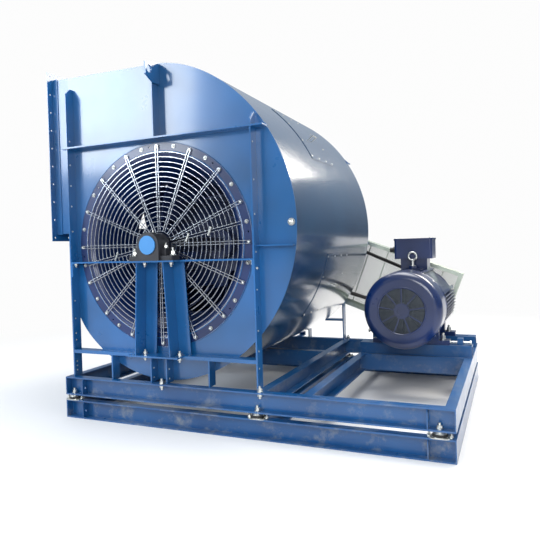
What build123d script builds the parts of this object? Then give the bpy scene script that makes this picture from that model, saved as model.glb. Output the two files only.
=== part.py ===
from build123d import *
from math import acos, atan2, copysign, cos, degrees, hypot, log, radians, sin, tan
import os

# Belt-driven centrifugal fan with two inlets on a vibration-isolated double base frame.
# Millimetres. X runs along the front of the base with the outlet at -X, Y runs along the shafts
# away from the inlet side seen first, Z is up. The origin is on the floor under the base's middle.

os.makedirs("parts", exist_ok=True)

# Base frames, of rolled channel
base_width = 1920.0
channel_height = 120.0
channel_flange = 55.0
channel_web = 7.0
channel_lip = 9.0
isolator_height = 33.0
scroll_beam_past_fan = 675.0
motor_beam_before_motor = 385.0
support_beam_before_foot = 87.0
rear_support_past_foot = 24.0
gusset_from_end = 140.0
gusset_thickness = 6.0
anchor_hole_radius = 9.0
anchor_from_end = 300.0
anchor_from_edge = 26.0

# Vibration isolators
isolator_radius = 40.0
isolator_dome_radius = 30.0
isolator_plate = 4.0
isolator_from_edge = 30.0
isolator_from_left = 50.0
isolator_past_beam = 8.0
isolator_from_right = 82.0
isolator_ear_pitch = 92.0
isolator_ear_bolt = 55.0
isolator_bolt_shift = 4.0
bolt_head_radius = 11.0
bolt_head_height = 7.0

# Shafts and drive
fan_from_left = 730.0
motor_from_fan = 1345.0
motor_from_right = 435.0
motor_shaft_height = 280.0
fan_pulley_pitch = 500.0
motor_pulley_pitch = 335.0
belt_count = 4
belt_pitch = 25.5
belt_height = 18.0
belt_top_width = 22.3
belt_side_gap = 0.35
belt_rise = 4.5
groove_angle = 19.0
groove_depth = 24.0
pulley_edge = 17.0
pulley_overhang = 116.0
shaft_radius = 50.0
journal_radius = 37.5

# Scroll housing: wrapper radius from the fan shaft at every 30 degrees, from the tongue side
# at 180 degrees, round the bottom and the motor side, up to the top
scroll_radii = (720.0, 818.0, 850.0, 862.0, 868.0, 888.0, 926.0, 984.0, 1070.0, 1150.0)
scroll_step = 30.0
scroll_over_deck = 5.0
outlet_bottom_over_shaft = 100.0
outlet_height = 1063.0
sheet = 4.0
plate_from_front = 105.0
collar_length = 140.0
outlet_flange_width = 50.0
outlet_flange_thickness = 5.0
outlet_hole_radius = 6.0
outlet_hole_edge = 25.0
outlet_rows = 10
outlet_columns = 15
tongue_length = 60.0
tongue_radius = 28.0

# Access doors in the wrapper, as angles about the fan shaft
door_length = 490.0
door_thickness = 3.0
door_lap = 2.0
door_side_lap = 22.0
upper_door_angles = (34.0, 60.0)
lower_door_angles = (-36.3, -5.8)
handle_width = 90.0
handle_height = 24.0
handle_bar = 8.0
screw_radius = 6.0
screw_height = 4.0

# Inlets
ring_bolt_radius = 627.0
ring_outer_radius = 652.0
inlet_radius = 590.0
cone_throat_radius = 465.0
cone_overlap = 16.0
ring_bolts = 32
duct_holes = 8
duct_hole_radius = 5.5
guard_clearance = 18.0
guard_wire = 6.0
guard_outer_ring = 590.0
guard_ring_pitch = 63.0
guard_ring_count = 9
guard_spokes = 16
guard_split_gap = 10.0
guard_split_angle = 11.25
guard_clip_reaches = (-389.0, 207.0, 411.0)
guard_clip_length = 40.0
guard_clip_width = 16.0

# Impeller
wheel_radius = 600.0
wheel_eye_radius = 480.0
wheel_half_width = 490.0
wheel_tip_half_width = 430.0
wheel_disc = 10.0
blade_root_radius = 330.0
blade_thickness = 6.0
blade_count = 10
blade_slope = 0.7
blade_setback = 30.0
hub_radius = 115.0
hub_length = 190.0

# Support frame of flat bars against both side plates
flat_depth = 70.0
flat_thickness = 10.0
leg_half_spacing = 684.0
left_leg_below_roof = 88.0
right_leg_over_bar = 80.0
leg_top_chamfer = 45.0
bar_over_shaft = 675.0
bar_proud = 8.0
bar_end = 82.0
stiffener_offset = 20.0
stiffener_below_roof = 21.0
lug_thickness = 12.0
lug_hole_radius = 25.0
lug_reach = 75.0
lug_below_top = 57.0
split_below_shaft = 20.0
split_depth = 43.0
split_bolt_radius = 16.0
split_bolt_inset = 28.0
split_bolt_height = 127.0
beam_wide_half = 185.0
beam_reach = 78.0
bracket_height = 90.0
shelf_over_deck = 179.0
shelf_lip = 22.0
shelf_reach = 66.0
post_proud = 30.0
post_depth = 110.0
post_thickness = 7.0
post_flange = 90.0
post_top_half = 98.0
post_bottom_half = 128.0
stub_offsets = (-363.0, -58.0, 58.0, 363.0)

# Plummer blocks
bearing_from_front = 25.0
bearing_depth = 126.0
bearing_height = 97.0
bearing_body_radius = 79.0
bearing_foot_length = 330.0
bearing_foot_depth = 96.0
bearing_foot_height = 30.0
bearing_bolt_spacing = 285.0
bearing_ring_radius = 70.0
bearing_ring_width = 46.0
bearing_seal_gap = 1.5
cover_radius = 58.0
cover_thickness = 7.0
roller_radius = 6.9
roller_circle_radius = 59.0
roller_count = 9
roller_gap = 0.08

# Motor and its slide rails
rail_height = 82.0
rail_width = 110.0
rail_wall = 9.0
rail_slot = 24.0
rail_before_motor = 378.0
rail_end = 4.0
motor_foot_spacing_x = 457.0
motor_foot_spacing_y = 419.0
motor_foot_overall = 560.0
motor_foot_height = 32.0
motor_foot_width = 90.0
motor_shoulder = 190.0
motor_shoulder_gap = 14.75
motor_shaft_length = 140.0
motor_shaft_radius = 37.5
motor_body_radius = 236.0
motor_fin_radius = 275.0
motor_fin = 5.0
motor_fin_pitch = 24.0
motor_fins = 9
motor_body_front = 190.0
motor_body_rear = 130.0
stator_bore = 140.0
rotor_gap = 0.6
running_gap = 0.05
shield_thickness = 26.0
cowl_ahead = 370.0
cowl_radius = 272.0
cowl_length = 265.0
cowl_wall = 4.0
cowl_round = 55.0
cowl_pad = 26.0
cowl_grille_radius = 157.0
cowl_ribs = 9
cowl_rib = 9.0
cowl_hub_radius = 54.0
cooling_fan_radius = 215.0
cooling_fan_gap = 30.0
cooling_fan_width = 70.0
cooling_blade = 5.0
cooling_blades = 8
box_length = 290.0
box_depth = 230.0
box_height = 145.0
box_lid = 14.0
box_seat_over_shaft = 290.0
box_neck = 54.0
box_from_foot = 288.0
gland_radius = 22.0
gland_bore_radius = 12.0
eyebolt_radius = 30.0
eyebolt_wire = 8.0
eyebolt_lift = 75.0
eyebolt_before_box = 145.0
tension_screw_radius = 10.0
tension_screw_reach = 415.0
tension_block = 40.0
tension_block_reach = 350.0
screw_clearance = 0.4

# Belt guard
guard_half_height = 300.0
guard_past_fan = 330.0
guard_past_motor = 240.0
guard_band_width = 140.0
guard_shift = 19.0
guard_sheet = 3.0
guard_lip = 30.0
guard_bar = 8.0
guard_bars = 12
guard_bracket_shares = (0.25, 0.85)
bracket_width = 60.0
bracket_sheet = 6.0

# Places worked out from the sizes above
base_length = fan_from_left + motor_from_fan + motor_from_right
left_x = -base_length / 2
front_y = -base_width / 2
upper_z = channel_height + isolator_height
deck_z = upper_z + channel_height
fan_x = left_x + fan_from_left
motor_x = fan_x + motor_from_fan
shaft_z = deck_z + scroll_over_deck + scroll_radii[3]
rail_top_z = deck_z + rail_height
motor_z = rail_top_z + motor_shaft_height
scroll_beam_x = fan_x + scroll_beam_past_fan
motor_beam_x = motor_x - motor_beam_before_motor
plate_y = front_y + plate_from_front
scroll_half_width = -plate_y - sheet
outlet_bottom_z = shaft_z + outlet_bottom_over_shaft
outlet_top_z = outlet_bottom_z + outlet_height
left_leg_x = fan_x - leg_half_spacing
right_leg_x = fan_x + leg_half_spacing
left_leg_top = outlet_top_z - left_leg_below_roof
bar_z = shaft_z + bar_over_shaft
right_leg_top = bar_z + right_leg_over_bar
stiffener_top = outlet_top_z - stiffener_below_roof
lug_z = stiffener_top - lug_below_top
leg_front_y = plate_y - flat_depth
bearing_y = front_y + bearing_from_front
beam_z = shaft_z - bearing_height
shelf_z = deck_z + shelf_over_deck
split_z = shaft_z - split_below_shaft
pulley_y = base_width / 2 + pulley_overhang
pulley_width = (belt_count - 1) * belt_pitch + 2 * pulley_edge
motor_shoulder_y = pulley_y - pulley_width / 2 - motor_shoulder_gap
foot_y_far = motor_shoulder_y - motor_shoulder
foot_y_near = foot_y_far - motor_foot_spacing_y
support_y = foot_y_near - support_beam_before_foot
rear_support_y = foot_y_far + rear_support_past_foot
drive_angle = degrees(atan2(motor_z - shaft_z, motor_x - fan_x))
drive_distance = hypot(motor_z - shaft_z, motor_x - fan_x)
fan_axis = Axis((fan_x, 0, shaft_z), (0, 1, 0))
motor_axis = Axis((motor_x, 0, motor_z), (0, 1, 0))
fan_profile_plane = Plane(origin=(fan_x, 0, shaft_z))
motor_profile_plane = Plane(origin=(motor_x, 0, motor_z))
low_corner = (Align.MIN, Align.MIN)
on_base = (Align.CENTER, Align.CENTER, Align.MIN)


def facing_front(y):
    """Plane across the shafts at y: its own x is X and its own y is Z."""
    return Plane.XZ.offset(-y)


def fan_face(y):
    """Plane across the fan shaft at y, with its origin on the shaft."""
    return Plane(origin=(fan_x, y, shaft_z), x_dir=(1, 0, 0), z_dir=(0, -1, 0))


def motor_face(y):
    """Plane across the motor shaft at y, with its origin on the shaft."""
    return Plane(origin=(motor_x, y, motor_z), x_dir=(1, 0, 0), z_dir=(0, -1, 0))


def channel_beam(middle, towards, length):
    """Adds a rolled channel: its web's back passes through middle, its flanges point towards."""
    across = Vector(towards).cross(Vector(0, 0, 1))
    with BuildSketch(Plane(origin=middle, x_dir=towards, z_dir=across)) as section:
        Rectangle(channel_flange, channel_height, align=low_corner)
        with Locations((channel_web, channel_lip)):
            recess = (channel_flange, channel_height - 2 * channel_lip)
            Rectangle(*recess, align=low_corner, mode=Mode.SUBTRACT)
    extrude(section.sketch, amount=length / 2, both=True)


def cope_lips(x, y, z, reach_x, reach_y):
    """Cuts a channel's lips back where another channel's lips pass."""
    with Locations((x, y, z + channel_lip / 2), (x, y, z + channel_height - channel_lip / 2)):
        Box(reach_x, reach_y, channel_lip, mode=Mode.SUBTRACT)


def rail_pair(z):
    """Adds the front and rear channels of one base frame, coped to the end channels."""
    for side in (-1, 1):
        web_y = side * (base_width / 2 - channel_flange)
        channel_beam((0, web_y, z), (0, side, 0), base_length - 2 * channel_web)
        for end in (-1, 1):
            x = end * (base_length - channel_flange) / 2
            cope_lips(x, side * (base_width - channel_flange) / 2, z, channel_flange, channel_flange)


def end_pair(z):
    """Adds the left and right channels of one base frame."""
    channel_beam((left_x, 0, z), (1, 0, 0), base_width)
    channel_beam((-left_x, 0, z), (-1, 0, 0), base_width)


# Lower base frame, which stands on the floor
with BuildPart() as lower_rails:
    rail_pair(0)
    with Locations((0, 0, channel_lip / 2)):
        with GridLocations(base_length - 2 * anchor_from_end, base_width - 2 * anchor_from_edge, 2, 2):
            Cylinder(anchor_hole_radius, 3 * channel_lip, mode=Mode.SUBTRACT)
lower_rails.part.label = "lower_rails"
export_step(lower_rails.part, "parts/lower_rails.step")

inner_length = base_width - 2 * channel_flange
with BuildPart() as lower_cross_beams:
    end_pair(0)
    channel_beam((scroll_beam_x, 0, 0), (1, 0, 0), inner_length)
lower_cross_beams.part.label = "lower_cross_beams"
export_step(lower_cross_beams.part, "parts/lower_cross_beams.step")

# Upper base frame, which carries the fan and the motor
with BuildPart() as upper_rails:
    rail_pair(upper_z)
upper_rails.part.label = "upper_rails"
export_step(upper_rails.part, "parts/upper_rails.step")

with BuildPart() as upper_cross_beams:
    end_pair(upper_z)
    for beam_x in (scroll_beam_x, motor_beam_x):
        channel_beam((beam_x, 0, upper_z), (1, 0, 0), inner_length)
upper_cross_beams.part.label = "upper_cross_beams"
export_step(upper_cross_beams.part, "parts/upper_cross_beams.step")

scroll_beam_length = scroll_beam_x - left_x - channel_web
with BuildPart() as scroll_support_beam:
    middle_x = left_x + channel_web + scroll_beam_length / 2
    channel_beam((middle_x, support_y, upper_z), (0, 1, 0), scroll_beam_length)
    cope_lips(left_x + channel_flange / 2, support_y, upper_z, channel_flange, 3 * channel_flange)
scroll_support_beam.part.label = "scroll_support_beam"
export_step(scroll_support_beam.part, "parts/scroll_support_beam.step")

with BuildPart() as motor_support_beams:
    beam_start = motor_beam_x + channel_web
    beam_stop = -left_x - channel_web
    for web_y, towards in ((support_y, 1), (rear_support_y, -1)):
        middle = ((beam_start + beam_stop) / 2, web_y, upper_z)
        channel_beam(middle, (0, towards, 0), beam_stop - beam_start)
        for x in (motor_beam_x + channel_flange / 2, -left_x - channel_flange / 2):
            cope_lips(x, web_y, upper_z, channel_flange, 3 * channel_flange)
motor_support_beams.part.label = "motor_support_beams"
export_step(motor_support_beams.part, "parts/motor_support_beams.step")

# Web gussets in the open side of the rails, with one corner cut back and a drain hole
gusset_depth = channel_flange - channel_web
with BuildPart() as web_gussets:
    for x in (left_x + gusset_from_end, -left_x - gusset_from_end):
        for z in (channel_lip, upper_z + channel_lip):
            with BuildSketch(Plane.YZ.offset(x)):
                with Locations((front_y, z)):
                    Rectangle(gusset_depth, channel_height - 2 * channel_lip, align=low_corner)
                corner = vertices().group_by(Axis.X)[0].sort_by(Axis.Y)[-1]
                chamfer(corner, gusset_depth / 3)
                with Locations((front_y + gusset_depth / 2, z + channel_height / 3)):
                    Circle(gusset_depth / 6, mode=Mode.SUBTRACT)
            extrude(amount=gusset_thickness / 2, both=True)
    mirror(about=Plane.XZ)
web_gussets.part.label = "web_gussets"
export_step(web_gussets.part, "parts/web_gussets.step")

# Vibration isolators between the frames
isolator_spots = [
    (x, side * (base_width / 2 - isolator_from_edge))
    for x in (left_x + isolator_from_left, scroll_beam_x + isolator_past_beam, -left_x - isolator_from_right)
    for side in (-1, 1)
]
rubber_height = isolator_height - 3 * isolator_plate
with BuildPart() as isolator_rubbers:
    with BuildSketch(Plane.XY.offset(channel_height + isolator_plate)):
        with Locations(*isolator_spots):
            Circle(isolator_radius)
    extrude(amount=rubber_height, taper=8)
isolator_rubbers.part.label = "isolator_rubbers"
export_step(isolator_rubbers.part, "parts/isolator_rubbers.step")

with BuildPart() as isolator_housings:
    with BuildSketch(Plane.XY.offset(channel_height)):
        with Locations(*isolator_spots):
            SlotCenterToCenter(isolator_ear_pitch / 2, 2 * isolator_radius)
    extrude(amount=isolator_plate)
    with BuildSketch(Plane.XY.offset(channel_height + isolator_plate + rubber_height)):
        with Locations(*isolator_spots):
            Circle(isolator_dome_radius)
    extrude(amount=2 * isolator_plate, taper=12)
isolator_housings.part.label = "isolator_housings"
export_step(isolator_housings.part, "parts/isolator_housings.step")

with BuildPart() as isolator_bolts:
    with BuildSketch(Plane.XY.offset(channel_height + isolator_plate)):
        for x, y in isolator_spots:
            with Locations((x - isolator_ear_bolt, y), (x + isolator_ear_bolt, y)):
                RegularPolygon(bolt_head_radius * 0.7, 6)
    extrude(amount=bolt_head_height)
    with BuildSketch(Plane.XY.offset(upper_z + channel_lip)):
        for x, y in isolator_spots:
            with Locations((x, y + copysign(isolator_bolt_shift, y))):
                RegularPolygon(bolt_head_radius, 6)
    extrude(amount=2 * bolt_head_height)
isolator_bolts.part.label = "isolator_bolts"
export_step(isolator_bolts.part, "parts/isolator_bolts.step")


def scroll_point(angle, radius):
    """Point at an angle about the fan shaft, seen from the front."""
    return (fan_x + radius * cos(radians(angle)), shaft_z + radius * sin(radians(angle)))


scroll_left = fan_x - scroll_radii[0]


def scroll_face(grow=0.0, mode=Mode.ADD):
    """Adds the side view of the scroll and its outlet, grown outwards by a sheet's thickness."""
    spots = [
        scroll_point(-180 + scroll_step * step, radius + grow) for step, radius in enumerate(scroll_radii)
    ]
    with BuildLine() as outline:
        Spline(*spots, tangents=[(0, -1), (-1, 0.02)], tangent_scalars=[1, 1])
        Polyline(spots[-1], (scroll_left - grow, outlet_top_z + grow), spots[0])
    make_face(outline.edges(), mode=mode)


def scroll_wedge(angles, reach):
    """Adds a wedge about the fan shaft between two angles."""
    first, last = angles
    middle = (first + last) / 2
    corners = [scroll_point(first, reach), scroll_point(middle, 1.2 * reach), scroll_point(last, reach)]
    with BuildLine() as outline:
        Polyline((fan_x, shaft_z), *corners, (fan_x, shaft_z))
    make_face(outline.edges())


# Side plates with their inlet openings and the free holes of the inlet ring
with BuildPart() as front_side_plate:
    with BuildSketch(facing_front(plate_y)):
        scroll_face()
        with Locations((fan_x, shaft_z)):
            Circle(inlet_radius, mode=Mode.SUBTRACT)
            with PolarLocations(ring_bolt_radius, duct_holes, start_angle=180 / ring_bolts):
                Circle(duct_hole_radius, mode=Mode.SUBTRACT)
    extrude(amount=-sheet)
front_side_plate.part.label = "front_side_plate"
export_step(front_side_plate.part, "parts/front_side_plate.step")

with BuildPart() as rear_side_plate:
    mirror(front_side_plate.part, about=Plane.XZ)
rear_side_plate.part.label = "rear_side_plate"
export_step(rear_side_plate.part, "parts/rear_side_plate.step")

# Wrapper: the rolled sheet between the side plates, open at the outlet and under the doors
with BuildPart() as scroll_wrapper:
    with BuildSketch(facing_front(0)):
        scroll_face()
        scroll_face(-sheet, Mode.SUBTRACT)
        with Locations((scroll_left, outlet_bottom_z)):
            Rectangle(2 * sheet, outlet_top_z - outlet_bottom_z - sheet, align=low_corner, mode=Mode.SUBTRACT)
    extrude(amount=scroll_half_width, both=True)
    for first, last in (upper_door_angles, lower_door_angles):
        with BuildSketch(facing_front(0)) as door_opening:
            scroll_wedge((first + door_lap, last - door_lap), 2 * wheel_radius)
        extrude(amount=door_length / 2 - door_side_lap, both=True, mode=Mode.SUBTRACT)
scroll_wrapper.part.label = "scroll_wrapper"
export_step(scroll_wrapper.part, "parts/scroll_wrapper.step")

# Tongue: the rounded cut-off between the outlet's floor and the scroll
with BuildPart() as scroll_tongue:
    with BuildSketch(facing_front(0)):
        with BuildLine():
            floor = Line(
                (scroll_left + sheet, outlet_bottom_z), (scroll_left + tongue_length, outlet_bottom_z)
            )
            nose = RadiusArc(floor @ 1, floor @ 1 + Vector(0, -2 * tongue_radius), -tongue_radius)
            Line(nose @ 1, (scroll_left + sheet, (nose @ 1).Y - tongue_length))
            Line((scroll_left + sheet, (nose @ 1).Y - tongue_length), floor @ 0)
        make_face()
        offset(amount=-sheet, kind=Kind.INTERSECTION, mode=Mode.SUBTRACT)
    extrude(amount=scroll_half_width, both=True)
scroll_tongue.part.label = "scroll_tongue"
export_step(scroll_tongue.part, "parts/scroll_tongue.step")

# Outlet collar and its bolted flange of angle section
collar_height = outlet_top_z - outlet_bottom_z
collar_centre_z = (outlet_top_z + outlet_bottom_z) / 2
with BuildPart() as outlet_collar:
    with BuildSketch(Plane.YZ.offset(scroll_left)):
        with Locations((0, collar_centre_z)):
            Rectangle(-2 * plate_y, collar_height)
            Rectangle(-2 * plate_y - 2 * sheet, collar_height - 2 * sheet, mode=Mode.SUBTRACT)
    extrude(amount=-collar_length)
outlet_collar.part.label = "outlet_collar"
export_step(outlet_collar.part, "parts/outlet_collar.step")

flange_face_x = scroll_left - collar_length
flange_wide = -2 * plate_y + 2 * outlet_flange_width
flange_tall = collar_height + 2 * outlet_flange_width
holes_wide = flange_wide - 2 * outlet_hole_edge
holes_tall = flange_tall - 2 * outlet_hole_edge
with BuildPart() as outlet_flange:
    with BuildSketch(Plane.YZ.offset(flange_face_x)):
        with Locations((0, collar_centre_z)):
            Rectangle(flange_wide, flange_tall)
            Rectangle(-2 * plate_y, collar_height, mode=Mode.SUBTRACT)
            with GridLocations(holes_wide, holes_tall / (outlet_rows - 1), 2, outlet_rows):
                Circle(outlet_hole_radius, mode=Mode.SUBTRACT)
            with GridLocations(holes_wide / (outlet_columns - 1), holes_tall, outlet_columns, 2):
                Circle(outlet_hole_radius, mode=Mode.SUBTRACT)
    extrude(amount=outlet_flange_thickness)
    with BuildSketch(Plane.YZ.offset(flange_face_x + outlet_flange_thickness)):
        with Locations((0, collar_centre_z)):
            Rectangle(-2 * plate_y + 2 * outlet_flange_thickness, collar_height + 2 * outlet_flange_thickness)
            Rectangle(-2 * plate_y, collar_height, mode=Mode.SUBTRACT)
    extrude(amount=outlet_flange_width - outlet_flange_thickness)
outlet_flange.part.label = "outlet_flange"
export_step(outlet_flange.part, "parts/outlet_flange.step")


def scroll_band(angles, outward, length):
    """Adds a curved plate that lies on the wrapper between two angles."""
    with BuildSketch(facing_front(0)) as band:
        scroll_face(outward)
        scroll_face(0, Mode.SUBTRACT)
    with BuildSketch(facing_front(0)) as wedge:
        scroll_wedge(angles, 2 * wheel_radius)
    extrude(band.sketch, amount=length / 2, both=True)
    extrude(wedge.sketch, amount=length, both=True, mode=Mode.INTERSECT)


# Access doors, curved with the wrapper
with BuildPart() as upper_access_door:
    scroll_band(upper_door_angles, door_thickness, door_length)
upper_access_door.part.label = "upper_access_door"
export_step(upper_access_door.part, "parts/upper_access_door.step")

with BuildPart() as lower_access_door:
    scroll_band(lower_door_angles, door_thickness, door_length)
lower_access_door.part.label = "lower_access_door"
export_step(lower_access_door.part, "parts/lower_access_door.step")


with BuildPart() as door_skin:
    with BuildSketch(facing_front(0)):
        scroll_face(door_thickness)
    extrude(amount=door_length / 2, both=True)


def door_plane(angle, y, lift=0.0):
    """Plane that lies on a door's outer face, on a ray at an angle about the fan shaft."""
    x, z = scroll_point(angle, 1)
    ray = Axis((fan_x, y, shaft_z), (x - fan_x, 0, z - shaft_z))
    spot, outward = door_skin.part.find_intersection_points(ray)[-1]
    return Plane(origin=spot + outward * lift, x_dir=(0, 1, 0), z_dir=outward)


# Lift handles, one on each door
handle_offset = 0.2 * door_length
with BuildPart() as door_handles:
    for first, last in (upper_door_angles, lower_door_angles):
        with BuildSketch(door_plane((first + last) / 2, handle_offset)):
            with GridLocations(handle_width - handle_bar, 1, 2, 1):
                Rectangle(handle_bar, handle_bar)
        extrude(amount=handle_height)
        with BuildSketch(door_plane((first + last) / 2, handle_offset, handle_height)):
            Rectangle(handle_width, handle_bar)
        extrude(amount=handle_bar)
door_handles.part.label = "door_handles"
export_step(door_handles.part, "parts/door_handles.step")

# Pan-head screws round the doors
screw_inset = 1.2
with BuildPart() as door_screws:
    for first, last in (upper_door_angles, lower_door_angles):
        rows = (first + screw_inset, (2 * first + last) / 3, (first + 2 * last) / 3, last - screw_inset)
        for angle in rows:
            for share in (-0.46, -0.155, 0.155, 0.46):
                if angle in (rows[0], rows[-1]) or abs(share) > 0.3:
                    with BuildSketch(door_plane(angle, share * door_length)):
                        RegularPolygon(screw_radius, 6)
                    extrude(amount=screw_height)
door_screws.part.label = "door_screws"
export_step(door_screws.part, "parts/door_screws.step")

# Inlet cones: a bolted ring, a rolled lip and a bell that narrows to the throat
cone_end_y = -wheel_half_width + cone_overlap
cone_depth = cone_end_y - plate_y
with BuildPart() as front_inlet_cone:
    with BuildSketch(fan_profile_plane):
        with BuildLine():
            outer = Line((ring_outer_radius, plate_y - sheet), (inlet_radius, plate_y - sheet))
            bell = Spline(
                outer @ 1,
                (cone_throat_radius + 45, plate_y + 0.3 * cone_depth),
                (cone_throat_radius, plate_y + 0.8 * cone_depth),
                tangents=[(-0.9, 0.3), (0, 1)],
            )
            lip = Line(bell @ 1, (cone_throat_radius + 6, cone_end_y))
            rim = Line(lip @ 1, (cone_throat_radius + 6 + sheet, cone_end_y))
            back = Line(rim @ 1, (cone_throat_radius + sheet, plate_y + 0.8 * cone_depth))
            back_bell = Spline(
                back @ 1,
                (cone_throat_radius + 45 + sheet, plate_y + 0.3 * cone_depth + sheet),
                (inlet_radius - 4, plate_y),
                tangents=[(0, -1), (0.9, -0.3)],
            )
            Polyline(back_bell @ 1, (ring_outer_radius, plate_y), outer @ 0)
        make_face()
    revolve(axis=fan_axis)
    with BuildSketch(fan_face(plate_y)):
        with PolarLocations(ring_bolt_radius, duct_holes, start_angle=180 / ring_bolts):
            Circle(duct_hole_radius)
    extrude(amount=2 * sheet, both=True, mode=Mode.SUBTRACT)
front_inlet_cone.part.label = "front_inlet_cone"
export_step(front_inlet_cone.part, "parts/front_inlet_cone.step")

with BuildPart() as rear_inlet_cone:
    mirror(front_inlet_cone.part, about=Plane.XZ)
rear_inlet_cone.part.label = "rear_inlet_cone"
export_step(rear_inlet_cone.part, "parts/rear_inlet_cone.step")

# Wire guards over the inlets: rings under spokes that end in feet on the inlet ring, in two halves
# that part along a slanted diameter with an edge wire on each side of the gap
guard_y = plate_y - sheet - guard_wire
guard_inner_ring = guard_outer_ring - (guard_ring_count - 1) * guard_ring_pitch
spoke_stop = ring_bolt_radius - bolt_head_radius
with BuildPart() as front_guard:
    with BuildSketch(fan_face(guard_y)):
        for ring in range(guard_ring_count):
            Circle(guard_outer_ring - ring * guard_ring_pitch + guard_wire / 2)
            Circle(guard_outer_ring - ring * guard_ring_pitch - guard_wire / 2, mode=Mode.SUBTRACT)
        with PolarLocations((guard_outer_ring + spoke_stop) / 2, guard_spokes, start_angle=90):
            Rectangle(spoke_stop - guard_outer_ring, 2 * guard_wire)
    extrude(amount=-guard_wire)
    with BuildSketch(fan_face(guard_y)):
        with PolarLocations((guard_inner_ring + spoke_stop) / 2, guard_spokes, start_angle=90):
            Rectangle(spoke_stop - guard_inner_ring, 2 * guard_wire)
        for turn in (guard_split_angle, guard_split_angle + 180):
            with PolarLocations((guard_inner_ring + guard_outer_ring) / 2, 1, start_angle=turn):
                Rectangle(guard_outer_ring - guard_inner_ring, guard_split_gap + 2 * guard_wire)
    extrude(amount=guard_wire)
    with BuildSketch(fan_face(guard_y)):
        with Locations(Location((0, 0), guard_split_angle)):
            Rectangle(2 * ring_outer_radius, guard_split_gap)
    extrude(amount=2 * guard_wire, both=True, mode=Mode.SUBTRACT)
front_guard.part.label = "front_guard"
export_step(front_guard.part, "parts/front_guard.step")

with BuildPart() as rear_guard:
    mirror(front_guard.part, about=Plane.XZ)
rear_guard.part.label = "rear_guard"
export_step(rear_guard.part, "parts/rear_guard.step")

# Clips that hold the guard halves together, on the edge wires
with BuildPart() as guard_clips:
    with BuildSketch(fan_face(guard_y - guard_wire)):
        for reach in guard_clip_reaches:
            turn = radians(guard_split_angle)
            with Locations(Location((reach * cos(turn), reach * sin(turn)), guard_split_angle + 90)):
                SlotOverall(guard_clip_length, guard_clip_width)
    extrude(amount=guard_wire)
    mirror(about=Plane.XZ)
guard_clips.part.label = "guard_clips"
export_step(guard_clips.part, "parts/guard_clips.step")

# Bolt heads round the inlet rings
with BuildPart() as inlet_ring_bolts:
    with BuildSketch(fan_face(plate_y - sheet)):
        with PolarLocations(ring_bolt_radius, ring_bolts, start_angle=90):
            RegularPolygon(bolt_head_radius * 0.8, 6)
    extrude(amount=bolt_head_height)
    mirror(about=Plane.XZ)
inlet_ring_bolts.part.label = "inlet_ring_bolts"
export_step(inlet_ring_bolts.part, "parts/inlet_ring_bolts.step")


def leg(middle_x, top):
    """Adds one leg: a flat bar on edge against the side plate, with its top corner cut off."""
    with BuildSketch(Plane.YZ.offset(middle_x - flat_thickness / 2)) as section:
        with Locations((leg_front_y, deck_z)):
            Rectangle(flat_depth, top - deck_z, align=low_corner)
        chamfer(section.vertices().group_by(Axis.X)[0].sort_by(Axis.Y)[-1], leg_top_chamfer)
    extrude(section.sketch, amount=flat_thickness)


def flat_bar(start_x, stop_x, top_z, depth, thickness=flat_thickness):
    """Adds a horizontal flat bar that stands out of the side plate."""
    with Locations(((start_x + stop_x) / 2, plate_y - depth / 2, top_z - thickness / 2)):
        Box(stop_x - start_x, depth, thickness)


def seat_plate(top_z, reach):
    """Adds the wide plate under a bearing or a pedestal, out to reach from the bar's edge."""
    with Locations((fan_x, leg_front_y - reach / 2, top_z - flat_thickness / 2)):
        Box(2 * beam_wide_half, reach, flat_thickness)


# Legs on both sides of each inlet, from the upper frame to above the top bar
with BuildPart() as front_legs:
    leg(left_leg_x, left_leg_top)
    leg(right_leg_x, right_leg_top)
front_legs.part.label = "front_legs"
export_step(front_legs.part, "parts/front_legs.step")

with BuildPart() as rear_legs:
    mirror(front_legs.part, about=Plane.XZ)
rear_legs.part.label = "rear_legs"
export_step(rear_legs.part, "parts/rear_legs.step")

# Top bars, notched round the legs, with a corner gusset over the right end
with BuildPart() as top_bars:
    flat_bar(left_leg_x - bar_end / 2, right_leg_x + bar_end, bar_z, flat_depth + bar_proud)
    with BuildSketch(facing_front(plate_y)):
        with BuildLine():
            Polyline(
                (right_leg_x, bar_z),
                (right_leg_x + bar_end, bar_z),
                (right_leg_x, bar_z + bar_end),
                (right_leg_x, bar_z),
            )
        make_face()
    extrude(amount=flat_thickness)
    add(front_legs.part, mode=Mode.SUBTRACT)
    mirror(about=Plane.XZ)
top_bars.part.label = "top_bars"
export_step(top_bars.part, "parts/top_bars.step")

# Upright stiffeners over the inlets, each with a lifting lug beside it
stiffener_x = fan_x + stiffener_offset
with BuildPart() as top_stiffeners:
    with Locations((stiffener_x - flat_thickness / 2, leg_front_y + flat_depth / 2, bar_z)):
        Box(flat_thickness, flat_depth, stiffener_top - bar_z, align=on_base)
    with BuildSketch(Plane.YZ.offset(stiffener_x)):
        with BuildLine():
            Polyline(
                (plate_y, stiffener_top),
                (leg_front_y + lug_reach / 3, stiffener_top),
                (leg_front_y - lug_reach, lug_z + lug_reach / 2),
                (leg_front_y - lug_reach, lug_z - lug_reach / 2),
                (leg_front_y, lug_z - lug_reach),
                (plate_y, lug_z - lug_reach),
                (plate_y, stiffener_top),
            )
        make_face()
        with Locations((leg_front_y - lug_reach / 2, lug_z)):
            Circle(lug_hole_radius, mode=Mode.SUBTRACT)
    extrude(amount=lug_thickness)
    mirror(about=Plane.XZ)
top_stiffeners.part.label = "top_stiffeners"
export_step(top_stiffeners.part, "parts/top_stiffeners.step")

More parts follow.
